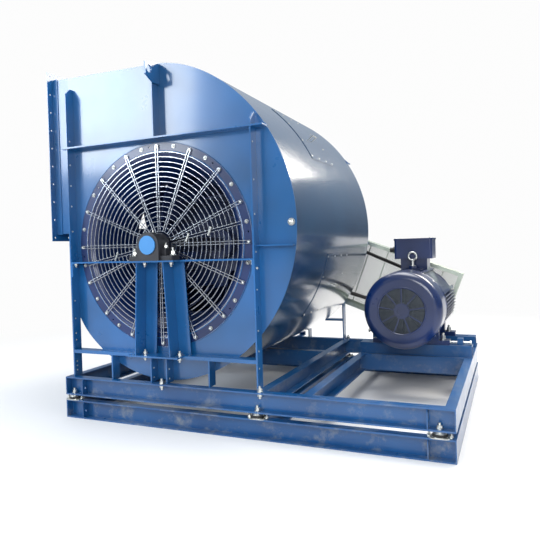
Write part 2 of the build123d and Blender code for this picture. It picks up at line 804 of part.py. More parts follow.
# Ledges of the housing's split line, from the right legs to the wrapper
split_stop = fan_x + scroll_radii[6] - 2 * sheet
with BuildPart() as split_flanges:
    flat_bar(right_leg_x + flat_thickness / 2, split_stop, split_z, split_depth, 2 * sheet)
    mirror(about=Plane.XZ)
split_flanges.part.label = "split_flanges"
export_step(split_flanges.part, "parts/split_flanges.step")

# Bearing beams, widened under the plummer blocks, clear of the guards, with brackets at the legs
beam_start = left_leg_x + flat_thickness / 2
beam_stop = right_leg_x - flat_thickness / 2
with BuildPart() as bearing_beams:
    flat_bar(beam_start, beam_stop, beam_z, flat_depth)
    seat_plate(beam_z, beam_reach)
    for x in (beam_start + flat_thickness / 2, beam_stop - flat_thickness / 2):
        with Locations((x, leg_front_y + bracket_height / 4, beam_z - flat_thickness - bracket_height / 2)):
            Box(flat_thickness, bracket_height / 2, bracket_height)
    with BuildSketch(fan_face(plate_y)):
        Circle(ring_outer_radius + 2)
    extrude(amount=guard_clearance, mode=Mode.SUBTRACT)
    mirror(about=Plane.XZ)
bearing_beams.part.label = "bearing_beams"
export_step(bearing_beams.part, "parts/bearing_beams.step")

# Shelves between the legs, under the pedestals, with a folded front lip
with BuildPart() as shelves:
    flat_bar(beam_start, beam_stop, shelf_z, flat_depth)
    with Locations((fan_x, leg_front_y + flat_thickness / 2, shelf_z - shelf_lip / 2)):
        Box(beam_stop - beam_start, flat_thickness, shelf_lip)
    seat_plate(shelf_z, shelf_reach)
    mirror(about=Plane.XZ)
shelves.part.label = "shelves"
export_step(shelves.part, "parts/shelves.step")


def splayed_post(side, width):
    """Adds the front view of one pedestal post, splayed from its top to its foot."""
    top_x = fan_x + side * post_top_half
    bottom_x = fan_x + side * post_bottom_half
    with BuildLine() as outline:
        Polyline(
            (bottom_x, shelf_z),
            (bottom_x + width, shelf_z),
            (top_x + width, beam_z - flat_thickness),
            (top_x, beam_z - flat_thickness),
            (bottom_x, shelf_z),
        )
    make_face(outline.edges())


# Pedestals: two splayed posts under each bearing, a web and a back flange each
post_front_y = front_y - post_proud
with BuildPart() as pedestals:
    for side in (-1, 1):
        with BuildSketch(facing_front(post_front_y)):
            splayed_post(side, post_thickness)
        extrude(amount=-post_depth)
        with BuildSketch(facing_front(post_front_y + post_depth - post_thickness)):
            splayed_post(side, post_flange)
        extrude(amount=-post_thickness)
    mirror(about=Plane.XZ)
pedestals.part.label = "pedestals"
export_step(pedestals.part, "parts/pedestals.step")

# Short posts between the shelves and the base, notched round the shelf's lip
with BuildPart() as stub_posts:
    for offset_x in stub_offsets:
        with Locations((fan_x + offset_x, leg_front_y + flat_depth / 2, (deck_z + shelf_z) / 2)):
            Box(flat_thickness, flat_depth, shelf_z - deck_z)
    add(shelves.part, mode=Mode.SUBTRACT)
    mirror(about=Plane.XZ)
stub_posts.part.label = "stub_posts"
export_step(stub_posts.part, "parts/stub_posts.step")

# Bolt heads that hold the frame: leg feet, pedestal feet, and the round head over each ledge
with BuildPart() as frame_bolts:
    with BuildSketch(Plane.XY.offset(deck_z)):
        for x in (left_leg_x, right_leg_x):
            with Locations((x + flat_thickness / 2 + bolt_head_radius + 2, leg_front_y - bolt_head_radius)):
                RegularPolygon(bolt_head_radius, 6)
    extrude(amount=bolt_head_height)
    with BuildSketch(Plane.XY.offset(shelf_z)):
        for side in (-1, 1):
            with Locations((fan_x + side * post_bottom_half + post_flange / 2, post_front_y + post_flange)):
                RegularPolygon(bolt_head_radius, 6)
    extrude(amount=bolt_head_height)
    with BuildSketch(facing_front(plate_y)):
        with Locations((fan_x + scroll_radii[6] - split_bolt_inset, split_z + split_bolt_height)):
            Circle(split_bolt_radius)
    extrude(amount=bolt_head_height)
    mirror(about=Plane.XZ)
frame_bolts.part.label = "frame_bolts"
export_step(frame_bolts.part, "parts/frame_bolts.step")

# Plummer block housings, split at the shaft's height
with BuildPart() as front_bearing_housing:
    with BuildSketch(fan_face(bearing_y)):
        Circle(bearing_body_radius)
        with Locations((0, -bearing_height / 2)):
            Rectangle(2 * bearing_body_radius, bearing_height)
    extrude(amount=bearing_depth / 2, both=True)
    with BuildSketch(Plane.XY.offset(beam_z)):
        with Locations((fan_x, bearing_y)):
            Rectangle(bearing_foot_length, bearing_foot_depth)
        fillet(vertices(), bearing_foot_depth / 5)
    extrude(amount=bearing_foot_height)
    with BuildSketch(fan_face(bearing_y)):
        Circle(bearing_ring_radius)
    extrude(amount=bearing_ring_width / 2, both=True, mode=Mode.SUBTRACT)
    with BuildSketch(fan_face(bearing_y)):
        Circle(journal_radius + bearing_seal_gap)
    extrude(amount=bearing_depth, both=True, mode=Mode.SUBTRACT)
    split(bisect_by=Plane.XY.offset(shaft_z), keep=Keep.BOTH)
front_bearing_housing.part.label = "front_bearing_housing"
export_step(front_bearing_housing.part, "parts/front_bearing_housing.step")

with BuildPart() as rear_bearing_housing:
    mirror(front_bearing_housing.part, about=Plane.XZ)
rear_bearing_housing.part.label = "rear_bearing_housing"
export_step(rear_bearing_housing.part, "parts/rear_bearing_housing.step")

# Bearing covers: closed at the free end of the shaft, open where the shaft comes out
cover_y = bearing_y - bearing_depth / 2
with BuildPart() as bearing_covers:
    with BuildSketch(fan_face(cover_y)):
        Circle(cover_radius)
    extrude(amount=cover_thickness)
    with BuildSketch(fan_face(-cover_y)):
        Circle(cover_radius)
        Circle(journal_radius + bearing_seal_gap, mode=Mode.SUBTRACT)
    extrude(amount=-cover_thickness)
bearing_covers.part.label = "bearing_covers"
export_step(bearing_covers.part, "parts/bearing_covers.step")

# Foot bolts and cap bolts of the plummer blocks
with BuildPart() as bearing_bolts:
    with BuildSketch(Plane.XY.offset(beam_z + bearing_foot_height)):
        with Locations((fan_x, bearing_y)):
            with GridLocations(bearing_bolt_spacing, 1, 2, 1):
                RegularPolygon(1.3 * bolt_head_radius, 6)
    extrude(amount=2 * bolt_head_height)
    mirror(about=Plane.XZ)
bearing_bolts.part.label = "bearing_bolts"
export_step(bearing_bolts.part, "parts/bearing_bolts.step")

# Outer rings and rollers of the shaft bearings
inner_ring_radius = roller_circle_radius - roller_radius - roller_gap
race_radius = roller_circle_radius + roller_radius + roller_gap
with BuildPart() as roller_bearings:
    with BuildSketch(fan_face(bearing_y)):
        Circle(bearing_ring_radius)
        Circle(race_radius, mode=Mode.SUBTRACT)
        with PolarLocations(roller_circle_radius, roller_count):
            Circle(roller_radius)
    extrude(amount=0.4 * bearing_ring_width, both=True)
    mirror(about=Plane.XZ)
roller_bearings.part.label = "roller_bearings"
export_step(roller_bearings.part, "parts/roller_bearings.step")

with BuildPart() as bearing_inner_rings:
    with BuildSketch(fan_face(bearing_y)):
        Circle(inner_ring_radius)
        Circle(journal_radius, mode=Mode.SUBTRACT)
    extrude(amount=0.45 * bearing_ring_width, both=True)
    mirror(about=Plane.XZ)
bearing_inner_rings.part.label = "bearing_inner_rings"
export_step(bearing_inner_rings.part, "parts/bearing_inner_rings.step")

# Fan shaft, stepped down to its journals
journal_start = bearing_y + bearing_depth / 2 + 20
shaft_front = bearing_y - 0.45 * bearing_ring_width
shaft_rear = pulley_y + pulley_width / 2 + 4
with BuildPart() as fan_shaft:
    with BuildSketch(fan_profile_plane):
        with BuildLine():
            Polyline(
                (0, shaft_front),
                (journal_radius, shaft_front),
                (journal_radius, journal_start),
                (shaft_radius, journal_start),
                (shaft_radius, -journal_start),
                (journal_radius, -journal_start),
                (journal_radius, shaft_rear),
                (0, shaft_rear),
                (0, shaft_front),
            )
        make_face()
    revolve(axis=fan_axis)
fan_shaft.part.label = "fan_shaft"
export_step(fan_shaft.part, "parts/fan_shaft.step")

# Impeller: a middle disc on its hub, backward-curved blades on both sides and two inlet shrouds
blade_sweep = degrees(log(wheel_radius / blade_root_radius) / blade_slope)
blade_middle_radius = (blade_root_radius * wheel_radius) ** 0.5
with BuildPart() as impeller:
    with BuildSketch(fan_face(0)):
        for blade in range(blade_count):
            turn = 360 * blade / blade_count
            with BuildLine():
                root = PolarLine((0, 0), blade_root_radius, turn, mode=Mode.PRIVATE) @ 1
                middle = PolarLine((0, 0), blade_middle_radius, turn - blade_sweep / 2, mode=Mode.PRIVATE) @ 1
                tip = PolarLine((0, 0), wheel_radius, turn - blade_sweep, mode=Mode.PRIVATE) @ 1
                camber = ThreePointArc(root, middle, tip)
                offset(camber, amount=blade_thickness / 2)
            make_face()
    extrude(amount=wheel_half_width - 2 * sheet, both=True)
    with BuildSketch(fan_face(0)):
        Circle(wheel_radius)
    extrude(amount=wheel_disc / 2, both=True)
    for side in (-1, 1):
        with BuildSketch(fan_profile_plane):
            with BuildLine():
                Polyline(
                    (wheel_eye_radius, side * wheel_half_width),
                    (wheel_eye_radius + sheet, side * wheel_half_width),
                    (wheel_radius + sheet, side * (wheel_tip_half_width + sheet)),
                    (wheel_radius + sheet, side * wheel_half_width * 1.2),
                    (0, side * wheel_half_width * 1.2),
                    (0, side * (wheel_half_width - 2 * blade_setback)),
                    (wheel_eye_radius, side * (wheel_half_width - blade_setback)),
                    (wheel_eye_radius, side * wheel_half_width),
                )
            make_face()
        revolve(axis=fan_axis, mode=Mode.SUBTRACT)
        with BuildSketch(fan_profile_plane):
            with BuildLine():
                Polyline(
                    (wheel_eye_radius, side * wheel_half_width),
                    (wheel_eye_radius + sheet, side * wheel_half_width),
                    (wheel_radius + sheet, side * (wheel_tip_half_width + sheet)),
                    (wheel_radius + sheet, side * (wheel_tip_half_width)),
                    (wheel_radius, side * (wheel_tip_half_width)),
                    (wheel_eye_radius, side * (wheel_half_width - 2 * sheet)),
                    (wheel_eye_radius, side * wheel_half_width),
                )
            make_face()
        revolve(axis=fan_axis)
    with BuildSketch(fan_face(0)):
        Circle(hub_radius)
    extrude(amount=hub_length / 2, both=True)
    with BuildSketch(fan_face(0)):
        Circle(shaft_radius)
    extrude(amount=hub_length, both=True, mode=Mode.SUBTRACT)
impeller.part.label = "impeller"
export_step(impeller.part, "parts/impeller.step")


def groove_centres():
    """Distances of the belt grooves from the middle of a pulley."""
    return [(belt - (belt_count - 1) / 2) * belt_pitch for belt in range(belt_count)]


def pulley(plane, axis, pitch_radius, bore, hub, web, web_holes):
    """Adds a V-belt pulley: a grooved rim, a web with holes and a hub."""
    outer = pitch_radius + belt_rise
    inner_rim = outer - groove_depth - 10
    with BuildSketch(plane) as section:
        with Locations(((outer + inner_rim) / 2, pulley_y)):
            Rectangle(outer - inner_rim, pulley_width)
        with Locations(((inner_rim + bore) / 2, pulley_y)):
            Rectangle(inner_rim - bore, web)
        with Locations(((hub + bore) / 2, pulley_y)):
            Rectangle(hub - bore, pulley_width)
        for centre in groove_centres():
            top_half = belt_top_width / 2 + belt_side_gap
            low_half = top_half - groove_depth * tan(radians(groove_angle))
            with BuildLine() as groove:
                Polyline(
                    (outer, pulley_y + centre - top_half),
                    (outer, pulley_y + centre + top_half),
                    (outer - groove_depth, pulley_y + centre + low_half),
                    (outer - groove_depth, pulley_y + centre - low_half),
                    (outer, pulley_y + centre - top_half),
                )
            make_face(groove.edges(), mode=Mode.SUBTRACT)
    revolve(section.sketch, axis=axis)
    if web_holes:
        hole_circle = (inner_rim + hub) / 2
        face = Plane(origin=axis.position + Vector(0, pulley_y, 0), x_dir=(1, 0, 0), z_dir=(0, -1, 0))
        with BuildSketch(face) as holes:
            with PolarLocations(hole_circle, web_holes):
                Circle((inner_rim - hub) * 0.36)
        extrude(holes.sketch, amount=web, both=True, mode=Mode.SUBTRACT)


with BuildPart() as fan_pulley:
    pulley(fan_profile_plane, fan_axis, fan_pulley_pitch / 2, journal_radius, 80, 24, 5)
fan_pulley.part.label = "fan_pulley"
export_step(fan_pulley.part, "parts/fan_pulley.step")

with BuildPart() as motor_pulley:
    pulley(motor_profile_plane, motor_axis, motor_pulley_pitch / 2, motor_shaft_radius, 65, 30, 0)
motor_pulley.part.label = "motor_pulley"
export_step(motor_pulley.part, "parts/motor_pulley.step")


# V-belts: a trapezoid that runs round both pulleys, one loop in each groove
belt_low_width = belt_top_width - 2 * belt_height * tan(radians(groove_angle))
tangent_angle = degrees(acos((fan_pulley_pitch - motor_pulley_pitch) / 2 / drive_distance))
tangent_length = drive_distance * sin(radians(tangent_angle))


def belt_section(centre_x, centre_z, y, angle, outer):
    """Returns the belt's section on a ray from a shaft at an angle seen from the front."""
    ray = Vector(cos(radians(angle)), 0, sin(radians(angle)))
    plane = Plane(origin=(centre_x, y, centre_z), x_dir=ray, z_dir=ray.cross(Vector(0, 1, 0)))
    with BuildSketch(plane, mode=Mode.PRIVATE) as section:
        with BuildLine() as outline:
            Polyline(
                (outer, -belt_top_width / 2),
                (outer, belt_top_width / 2),
                (outer - belt_height, belt_low_width / 2),
                (outer - belt_height, -belt_low_width / 2),
                (outer, -belt_top_width / 2),
            )
        make_face(outline.edges())
    return section.sketch


fan_belt_radius = fan_pulley_pitch / 2 + belt_rise
motor_belt_radius = motor_pulley_pitch / 2 + belt_rise
upper_angle = drive_angle + tangent_angle
lower_angle = drive_angle - tangent_angle
with BuildPart() as drive_belts:
    for centre in groove_centres():
        y = pulley_y + centre
        lower_section = belt_section(fan_x, shaft_z, y, lower_angle, fan_belt_radius)
        revolve(lower_section, axis=fan_axis, revolution_arc=360 - 2 * tangent_angle)
        extrude(lower_section, amount=tangent_length)
        extrude(belt_section(fan_x, shaft_z, y, upper_angle, fan_belt_radius), amount=-tangent_length)
        motor_section = belt_section(motor_x, motor_z, y, upper_angle, motor_belt_radius)
        revolve(motor_section, axis=motor_axis, revolution_arc=2 * tangent_angle)
drive_belts.part.label = "drive_belts"
export_step(drive_belts.part, "parts/drive_belts.step")

# Motor frame: a finned barrel with its stator bore, feet and a flat for the terminal box
body_front_y = foot_y_near - motor_body_front
body_rear_y = foot_y_far + motor_body_rear
cowl_front_y = foot_y_near - cowl_ahead
cowl_rear_y = cowl_front_y + cowl_length
box_y = foot_y_near + box_from_foot
box_seat_z = motor_z + box_seat_over_shaft
box_bottom_z = box_seat_z + box_neck
eyebolt_y = box_y - eyebolt_before_box
barrel_top_z = motor_z + motor_body_radius / 2
with BuildPart() as motor_frame:
    with BuildSketch(motor_face(body_front_y)):
        Circle(motor_body_radius)
    extrude(amount=body_front_y - body_rear_y)
    with BuildSketch(motor_face(cowl_rear_y + 2)):
        Circle(motor_fin_radius)
        for side in (-1, 1):
            for fin in range(motor_fins - 1):
                shift = (fin - motor_fins / 2 + 1) * motor_fin_pitch
                gap = motor_fin_pitch - motor_fin
                with Locations((shift, side * motor_fin_radius)):
                    Rectangle(gap, 2 * (motor_fin_radius - motor_body_radius) + 60, mode=Mode.SUBTRACT)
                with Locations((side * motor_fin_radius, shift)):
                    Rectangle(2 * (motor_fin_radius - motor_body_radius) + 60, gap, mode=Mode.SUBTRACT)
        with PolarLocations(motor_fin_radius, 4, start_angle=45):
            Rectangle(2 * (motor_fin_radius - motor_body_radius), 190, mode=Mode.SUBTRACT)
        Circle(motor_body_radius)
    extrude(amount=cowl_rear_y + 2 - body_rear_y)
    for y in (foot_y_near, foot_y_far):
        with BuildSketch(facing_front(y)):
            with Locations((motor_x, rail_top_z)):
                Rectangle(motor_foot_overall, motor_foot_height, align=(Align.CENTER, Align.MIN))
            with Locations((motor_x, rail_top_z + motor_shaft_height / 4)):
                Rectangle(0.72 * motor_foot_overall, motor_shaft_height / 2)
        extrude(amount=motor_foot_width / 2, both=True)
    with Locations((motor_x, box_y, barrel_top_z)):
        Box(0.7 * box_length, 0.7 * box_depth, box_seat_z - barrel_top_z, align=on_base)
    with Locations((motor_x, eyebolt_y, barrel_top_z)):
        Cylinder(eyebolt_radius, box_seat_z - barrel_top_z, align=on_base)
    with BuildSketch(motor_face(body_front_y)):
        Circle(stator_bore)
    extrude(amount=body_front_y - body_rear_y, mode=Mode.SUBTRACT)
motor_frame.part.label = "motor_frame"
export_step(motor_frame.part, "parts/motor_frame.step")

# End shields that carry the rotor, the front one under the cowl
with BuildPart() as motor_end_shields:
    with BuildSketch(motor_profile_plane):
        with Locations((0, body_front_y)):
            Rectangle(motor_body_radius, shield_thickness, align=(Align.MIN, Align.MAX))
            Rectangle(0.4 * motor_body_radius, 1.6 * shield_thickness, align=(Align.MIN, Align.MAX))
        with BuildLine():
            Polyline(
                (0, body_rear_y),
                (motor_body_radius + 8, body_rear_y),
                (motor_body_radius + 8, body_rear_y + shield_thickness),
                (0.5 * motor_body_radius, motor_shoulder_y),
                (0, motor_shoulder_y),
                (0, body_rear_y),
            )
        make_face()
    revolve(axis=motor_axis)
    with BuildSketch(motor_face(body_front_y - 2 * shield_thickness)):
        Circle(motor_shaft_radius + running_gap)
    extrude(amount=body_front_y - motor_shoulder_y - 4 * shield_thickness, mode=Mode.SUBTRACT)
motor_end_shields.part.label = "motor_end_shields"
export_step(motor_end_shields.part, "parts/motor_end_shields.step")


def cup(start_y, radius, rounding, mode):
    """Adds or cuts a round block on the motor's axis, rounded at its front edge."""
    with BuildSketch(motor_profile_plane) as section:
        with Locations((0, start_y)):
            Rectangle(radius, cowl_rear_y - start_y, align=low_corner)
        fillet(section.vertices().group_by(Axis.X)[-1].sort_by(Axis.Y)[0], rounding)
    revolve(section.sketch, axis=motor_axis, mode=mode)


# Fan cowl with its round air inlet behind ribs
with BuildPart() as motor_fan_cowl:
    cup(cowl_front_y, cowl_radius, cowl_round, Mode.ADD)
    cup(cowl_front_y + cowl_wall, cowl_radius - cowl_wall, cowl_round - cowl_wall, Mode.SUBTRACT)
    with BuildSketch(motor_face(cowl_front_y - 1)):
        Circle(cowl_grille_radius)
        Circle(cowl_hub_radius, mode=Mode.SUBTRACT)
        with PolarLocations((cowl_grille_radius + cowl_hub_radius) / 2, cowl_ribs, start_angle=90):
            Rectangle(cowl_grille_radius - cowl_hub_radius + 10, cowl_rib, mode=Mode.SUBTRACT)
    extrude(amount=-2 * cowl_wall, mode=Mode.SUBTRACT)
    with BuildSketch(motor_face(body_front_y + 2)):
        with PolarLocations((cowl_radius + motor_body_radius) / 2, 4, start_angle=45):
            Rectangle(cowl_radius - motor_body_radius, cowl_pad)
        Circle(motor_body_radius, mode=Mode.SUBTRACT)
    extrude(amount=-cowl_pad)
motor_fan_cowl.part.label = "motor_fan_cowl"
export_step(motor_fan_cowl.part, "parts/motor_fan_cowl.step")

# Terminal box with its lid on a neck, its cable gland and the eyebolt
with BuildPart() as terminal_box:
    with BuildSketch(Plane.XY.offset(box_seat_z)):
        with Locations((motor_x, box_y)):
            Rectangle(0.7 * box_length, 0.7 * box_depth)
    extrude(amount=box_bottom_z - box_seat_z)
    with BuildSketch(Plane.XY.offset(box_bottom_z)):
        with Locations((motor_x, box_y)):
            Rectangle(box_length, box_depth)
        fillet(vertices(), 18)
    extrude(amount=box_height)
    with BuildSketch(Plane.XY.offset(box_bottom_z + box_height)):
        with Locations((motor_x, box_y)):
            Rectangle(box_length + 8, box_depth + 8)
        fillet(vertices(), 20)
    extrude(amount=box_lid)
terminal_box.part.label = "terminal_box"
export_step(terminal_box.part, "parts/terminal_box.step")

gland_plane = Plane(
    origin=(motor_x - box_length / 2, box_y - box_depth / 5, box_bottom_z + box_height / 2), z_dir=(-1, 0, 0)
)
with BuildPart() as cable_gland:
    with BuildSketch(gland_plane):
        RegularPolygon(gland_radius * 1.15, 6)
    extrude(amount=gland_radius * 0.8)
    with BuildSketch(gland_plane):
        Circle(gland_radius * 0.85)
    extrude(amount=gland_radius * 2)
    with BuildSketch(gland_plane):
        Circle(gland_bore_radius)
    extrude(amount=gland_radius * 2, mode=Mode.SUBTRACT)
cable_gland.part.label = "cable_gland"
export_step(cable_gland.part, "parts/cable_gland.step")

eye_z = box_seat_z + eyebolt_lift
with BuildPart() as motor_eyebolt:
    with BuildSketch(Plane(origin=(motor_x, eyebolt_y, eye_z))):
        with Locations((eyebolt_radius, 0)):
            Circle(eyebolt_wire)
    revolve(axis=Axis((motor_x, eyebolt_y, eye_z), (0, 1, 0)))
    with Locations((motor_x, eyebolt_y, box_seat_z)):
        Cylinder(1.5 * eyebolt_wire, eyebolt_lift - eyebolt_radius + eyebolt_wire / 2, align=on_base)
        Cylinder(0.8 * eyebolt_radius, eyebolt_wire / 2, align=on_base)
motor_eyebolt.part.label = "motor_eyebolt"
export_step(motor_eyebolt.part, "parts/motor_eyebolt.step")

with BuildPart() as motor_foot_bolts:
    with BuildSketch(Plane.XY.offset(rail_top_z + motor_foot_height)):
        with Locations((motor_x, (foot_y_near + foot_y_far) / 2)):
            with GridLocations(motor_foot_spacing_x, motor_foot_spacing_y, 2, 2):
                RegularPolygon(1.4 * bolt_head_radius, 6)
    extrude(amount=2 * bolt_head_height)
motor_foot_bolts.part.label = "motor_foot_bolts"
export_step(motor_foot_bolts.part, "parts/motor_foot_bolts.step")

# Tension screws, one at each end, from the motor's toes through the blocks of the rails
screw_z = rail_top_z + motor_foot_height / 2
screw_length = tension_screw_reach - motor_foot_overall / 2
with BuildPart() as tension_screws:
    for side, y in ((1, foot_y_near), (-1, foot_y_far)):
        toe_x = motor_x + side * motor_foot_overall / 2
        with BuildSketch(Plane(origin=(toe_x, y, screw_z), z_dir=(side, 0, 0))):
            Circle(tension_screw_radius)
        extrude(amount=screw_length)
        with BuildSketch(Plane(origin=(toe_x + side * screw_length, y, screw_z), z_dir=(side, 0, 0))):
            RegularPolygon(1.6 * tension_screw_radius, 6)
        extrude(amount=tension_screw_radius)
tension_screws.part.label = "tension_screws"
export_step(tension_screws.part, "parts/tension_screws.step")

# Slide rails on the base, slotted for the foot bolts, with the blocks of the tension screws
rail_start_x = motor_x - rail_before_motor
rail_stop_x = -left_x - rail_end
rail_length = rail_stop_x - rail_start_x
rail_middle_x = (rail_start_x + rail_stop_x) / 2
with BuildPart() as slide_rails:
    for side, y in ((1, foot_y_near), (-1, foot_y_far)):
        inside = (rail_width - 2 * rail_wall, rail_height - rail_wall)
        with Locations((rail_middle_x, y, deck_z)):
            Box(rail_length, rail_width, rail_height, align=on_base)
            Box(rail_length, *inside, align=on_base, mode=Mode.SUBTRACT)
        with BuildSketch(Plane.XY.offset(rail_top_z)):
            with Locations((rail_middle_x, y)):
                SlotOverall(rail_length - rail_width, rail_slot)
        extrude(amount=-rail_wall, mode=Mode.SUBTRACT)
        block_x = motor_x + side * tension_block_reach
        with Locations((block_x, y, rail_top_z)):
            Box(tension_block, 1.6 * tension_block, 1.2 * tension_block, align=on_base)
        with BuildSketch(Plane(origin=(block_x, y, screw_z), z_dir=(1, 0, 0))):
            Circle(tension_screw_radius + screw_clearance)
        extrude(amount=tension_block, both=True, mode=Mode.SUBTRACT)
slide_rails.part.label = "slide_rails"
export_step(slide_rails.part, "parts/slide_rails.step")

# Motor shaft with its rotor core, and the cooling fan on its front end
shaft_front_y = cowl_front_y + cowl_wall + cooling_fan_gap
with BuildPart() as motor_shaft:
    with BuildSketch(motor_face(shaft_front_y)):
        Circle(motor_shaft_radius)
    extrude(amount=shaft_front_y - motor_shoulder_y - motor_shaft_length)
    with BuildSketch(motor_face((body_front_y + body_rear_y) / 2)):
        Circle(stator_bore - rotor_gap)
    extrude(amount=0.32 * (body_rear_y - body_front_y), both=True)
motor_shaft.part.label = "motor_shaft"
export_step(motor_shaft.part, "parts/motor_shaft.step")

with BuildPart() as motor_cooling_fan:
    with BuildSketch(motor_face(shaft_front_y)):
        Circle(1.5 * motor_shaft_radius)
        with PolarLocations(cooling_fan_radius / 2, cooling_blades):
            Rectangle(cooling_fan_radius, cooling_blade)
    extrude(amount=-cooling_fan_width)
    with BuildSketch(motor_face(shaft_front_y + cooling_fan_width)):
        Circle(cooling_fan_radius)
    extrude(amount=-cooling_blade)
    with BuildSketch(motor_face(shaft_front_y)):
        Circle(motor_shaft_radius)
    extrude(amount=-2 * cooling_fan_width, mode=Mode.SUBTRACT)
motor_cooling_fan.part.label = "motor_cooling_fan"
export_step(motor_cooling_fan.part, "parts/motor_cooling_fan.step")

# Belt guard: a slanted band with a folded near lip and a barred outer panel
guard_near_y = pulley_y - guard_band_width / 2 + guard_shift
guard_far_y = guard_near_y + guard_band_width
guard_length = drive_distance + guard_past_fan + guard_past_motor
guard_middle = drive_distance / 2 + (guard_past_motor - guard_past_fan) / 2


def guard_plane(y):
    """Plane across the drive at y, with its x along the line of centres from the fan shaft."""
    along = (cos(radians(drive_angle)), 0, sin(radians(drive_angle)))
    return Plane(origin=(fan_x, y, shaft_z), x_dir=along, z_dir=(0, -1, 0))


with BuildPart() as belt_guard:
    for y, depth, inset in (
        (guard_near_y, guard_sheet, guard_lip),
        (guard_near_y, guard_band_width, guard_sheet),
        (guard_far_y - guard_sheet, guard_sheet, guard_lip),
    ):
        with BuildSketch(guard_plane(y)):
            with Locations((guard_middle, 0)):
                Rectangle(guard_length, 2 * guard_half_height)
                Rectangle(guard_length - 2 * inset, 2 * (guard_half_height - inset), mode=Mode.SUBTRACT)
        extrude(amount=-depth)
    with BuildSketch(guard_plane(guard_far_y - guard_sheet)):
        with Locations((guard_middle, 0)):
            with GridLocations(guard_length / guard_bars, 1, guard_bars - 1, 1):
                Rectangle(guard_bar, 2 * guard_half_height - guard_lip)
    extrude(amount=-guard_sheet)
belt_guard.part.label = "belt_guard"
export_step(belt_guard.part, "parts/belt_guard.step")

# Brackets that carry the belt guard from the rear rail
guard_foot_y = base_width / 2 - 0.8 * channel_flange
with BuildPart() as belt_guard_brackets:
    for share in guard_bracket_shares:
        on_guard = (share * drive_distance, guard_lip - guard_half_height, 0)
        spot = guard_plane(guard_near_y).from_local_coords(on_guard)
        with Locations((spot.X, guard_foot_y, deck_z)):
            foot = (bracket_width, guard_near_y - guard_foot_y, bracket_sheet)
            Box(*foot, align=(Align.CENTER, Align.MIN, Align.MIN))
        with Locations((spot.X, guard_near_y, deck_z)):
            Box(bracket_width, bracket_sheet, spot.Z - deck_z, align=(Align.CENTER, Align.MAX, Align.MIN))
belt_guard_brackets.part.label = "belt_guard_brackets"
export_step(belt_guard_brackets.part, "parts/belt_guard_brackets.step")
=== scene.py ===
"""Belt-driven centrifugal fan on a double channel frame: its finish, fine parts and studio.

Metres. X runs along the front of the base with the outlet at -X, Y along the shafts, Z is up.
"""

import math

import bmesh
import bpy
import numpy as np
from mathutils import Matrix, Vector


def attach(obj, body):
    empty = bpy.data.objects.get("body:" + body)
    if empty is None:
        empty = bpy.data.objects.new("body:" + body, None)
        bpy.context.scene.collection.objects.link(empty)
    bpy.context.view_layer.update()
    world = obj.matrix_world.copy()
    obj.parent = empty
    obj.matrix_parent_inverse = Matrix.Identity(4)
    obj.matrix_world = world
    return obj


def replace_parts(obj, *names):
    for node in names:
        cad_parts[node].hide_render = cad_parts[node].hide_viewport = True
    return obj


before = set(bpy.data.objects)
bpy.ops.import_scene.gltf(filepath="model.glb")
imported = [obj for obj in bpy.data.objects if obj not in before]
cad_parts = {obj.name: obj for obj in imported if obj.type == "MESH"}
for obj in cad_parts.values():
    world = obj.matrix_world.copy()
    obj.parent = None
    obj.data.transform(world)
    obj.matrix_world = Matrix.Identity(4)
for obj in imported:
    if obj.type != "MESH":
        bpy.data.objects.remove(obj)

bl_info = {
    "name": "Centrifugal fan",
    "version": (1, 0, 0),
    "blender": (4, 5, 0),
    "location": "View3D > Sidebar > Fan",
    "description": "Builds a belt-driven centrifugal fan's fine parts, finishes and studio",
    "category": "Add Mesh",
}

BODY = "base_and_housing"
FAN = Vector((-0.525, 0.0, 1.14))
MOTOR = Vector((0.82, 0.0, 0.635))
PLATE_Y = -0.855
RING = 0.627
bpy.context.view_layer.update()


# Materials


class Value:
    """A number that varies over a surface: Python's operators on it add Math nodes."""

    def __init__(self, look, socket):
        self.look, self.socket = look, socket

    def maths(self, operation, first, second=0.0):
        return self.look.node("Math", {"operation": operation}, {0: first, 1: second})

    def __add__(self, other):
        return self.maths("ADD", self, other)

    __radd__ = __add__

    def __sub__(self, other):
        return self.maths("SUBTRACT", self, other)

    def __rsub__(self, other):
        return self.maths("SUBTRACT", other, self)

    def __mul__(self, other):
        return self.maths("MULTIPLY", self, other)

    __rmul__ = __mul__

    def __gt__(self, other):
        return self.maths("GREATER_THAN", self, other)

    def __lt__(self, other):
        return self.maths("LESS_THAN", self, other)


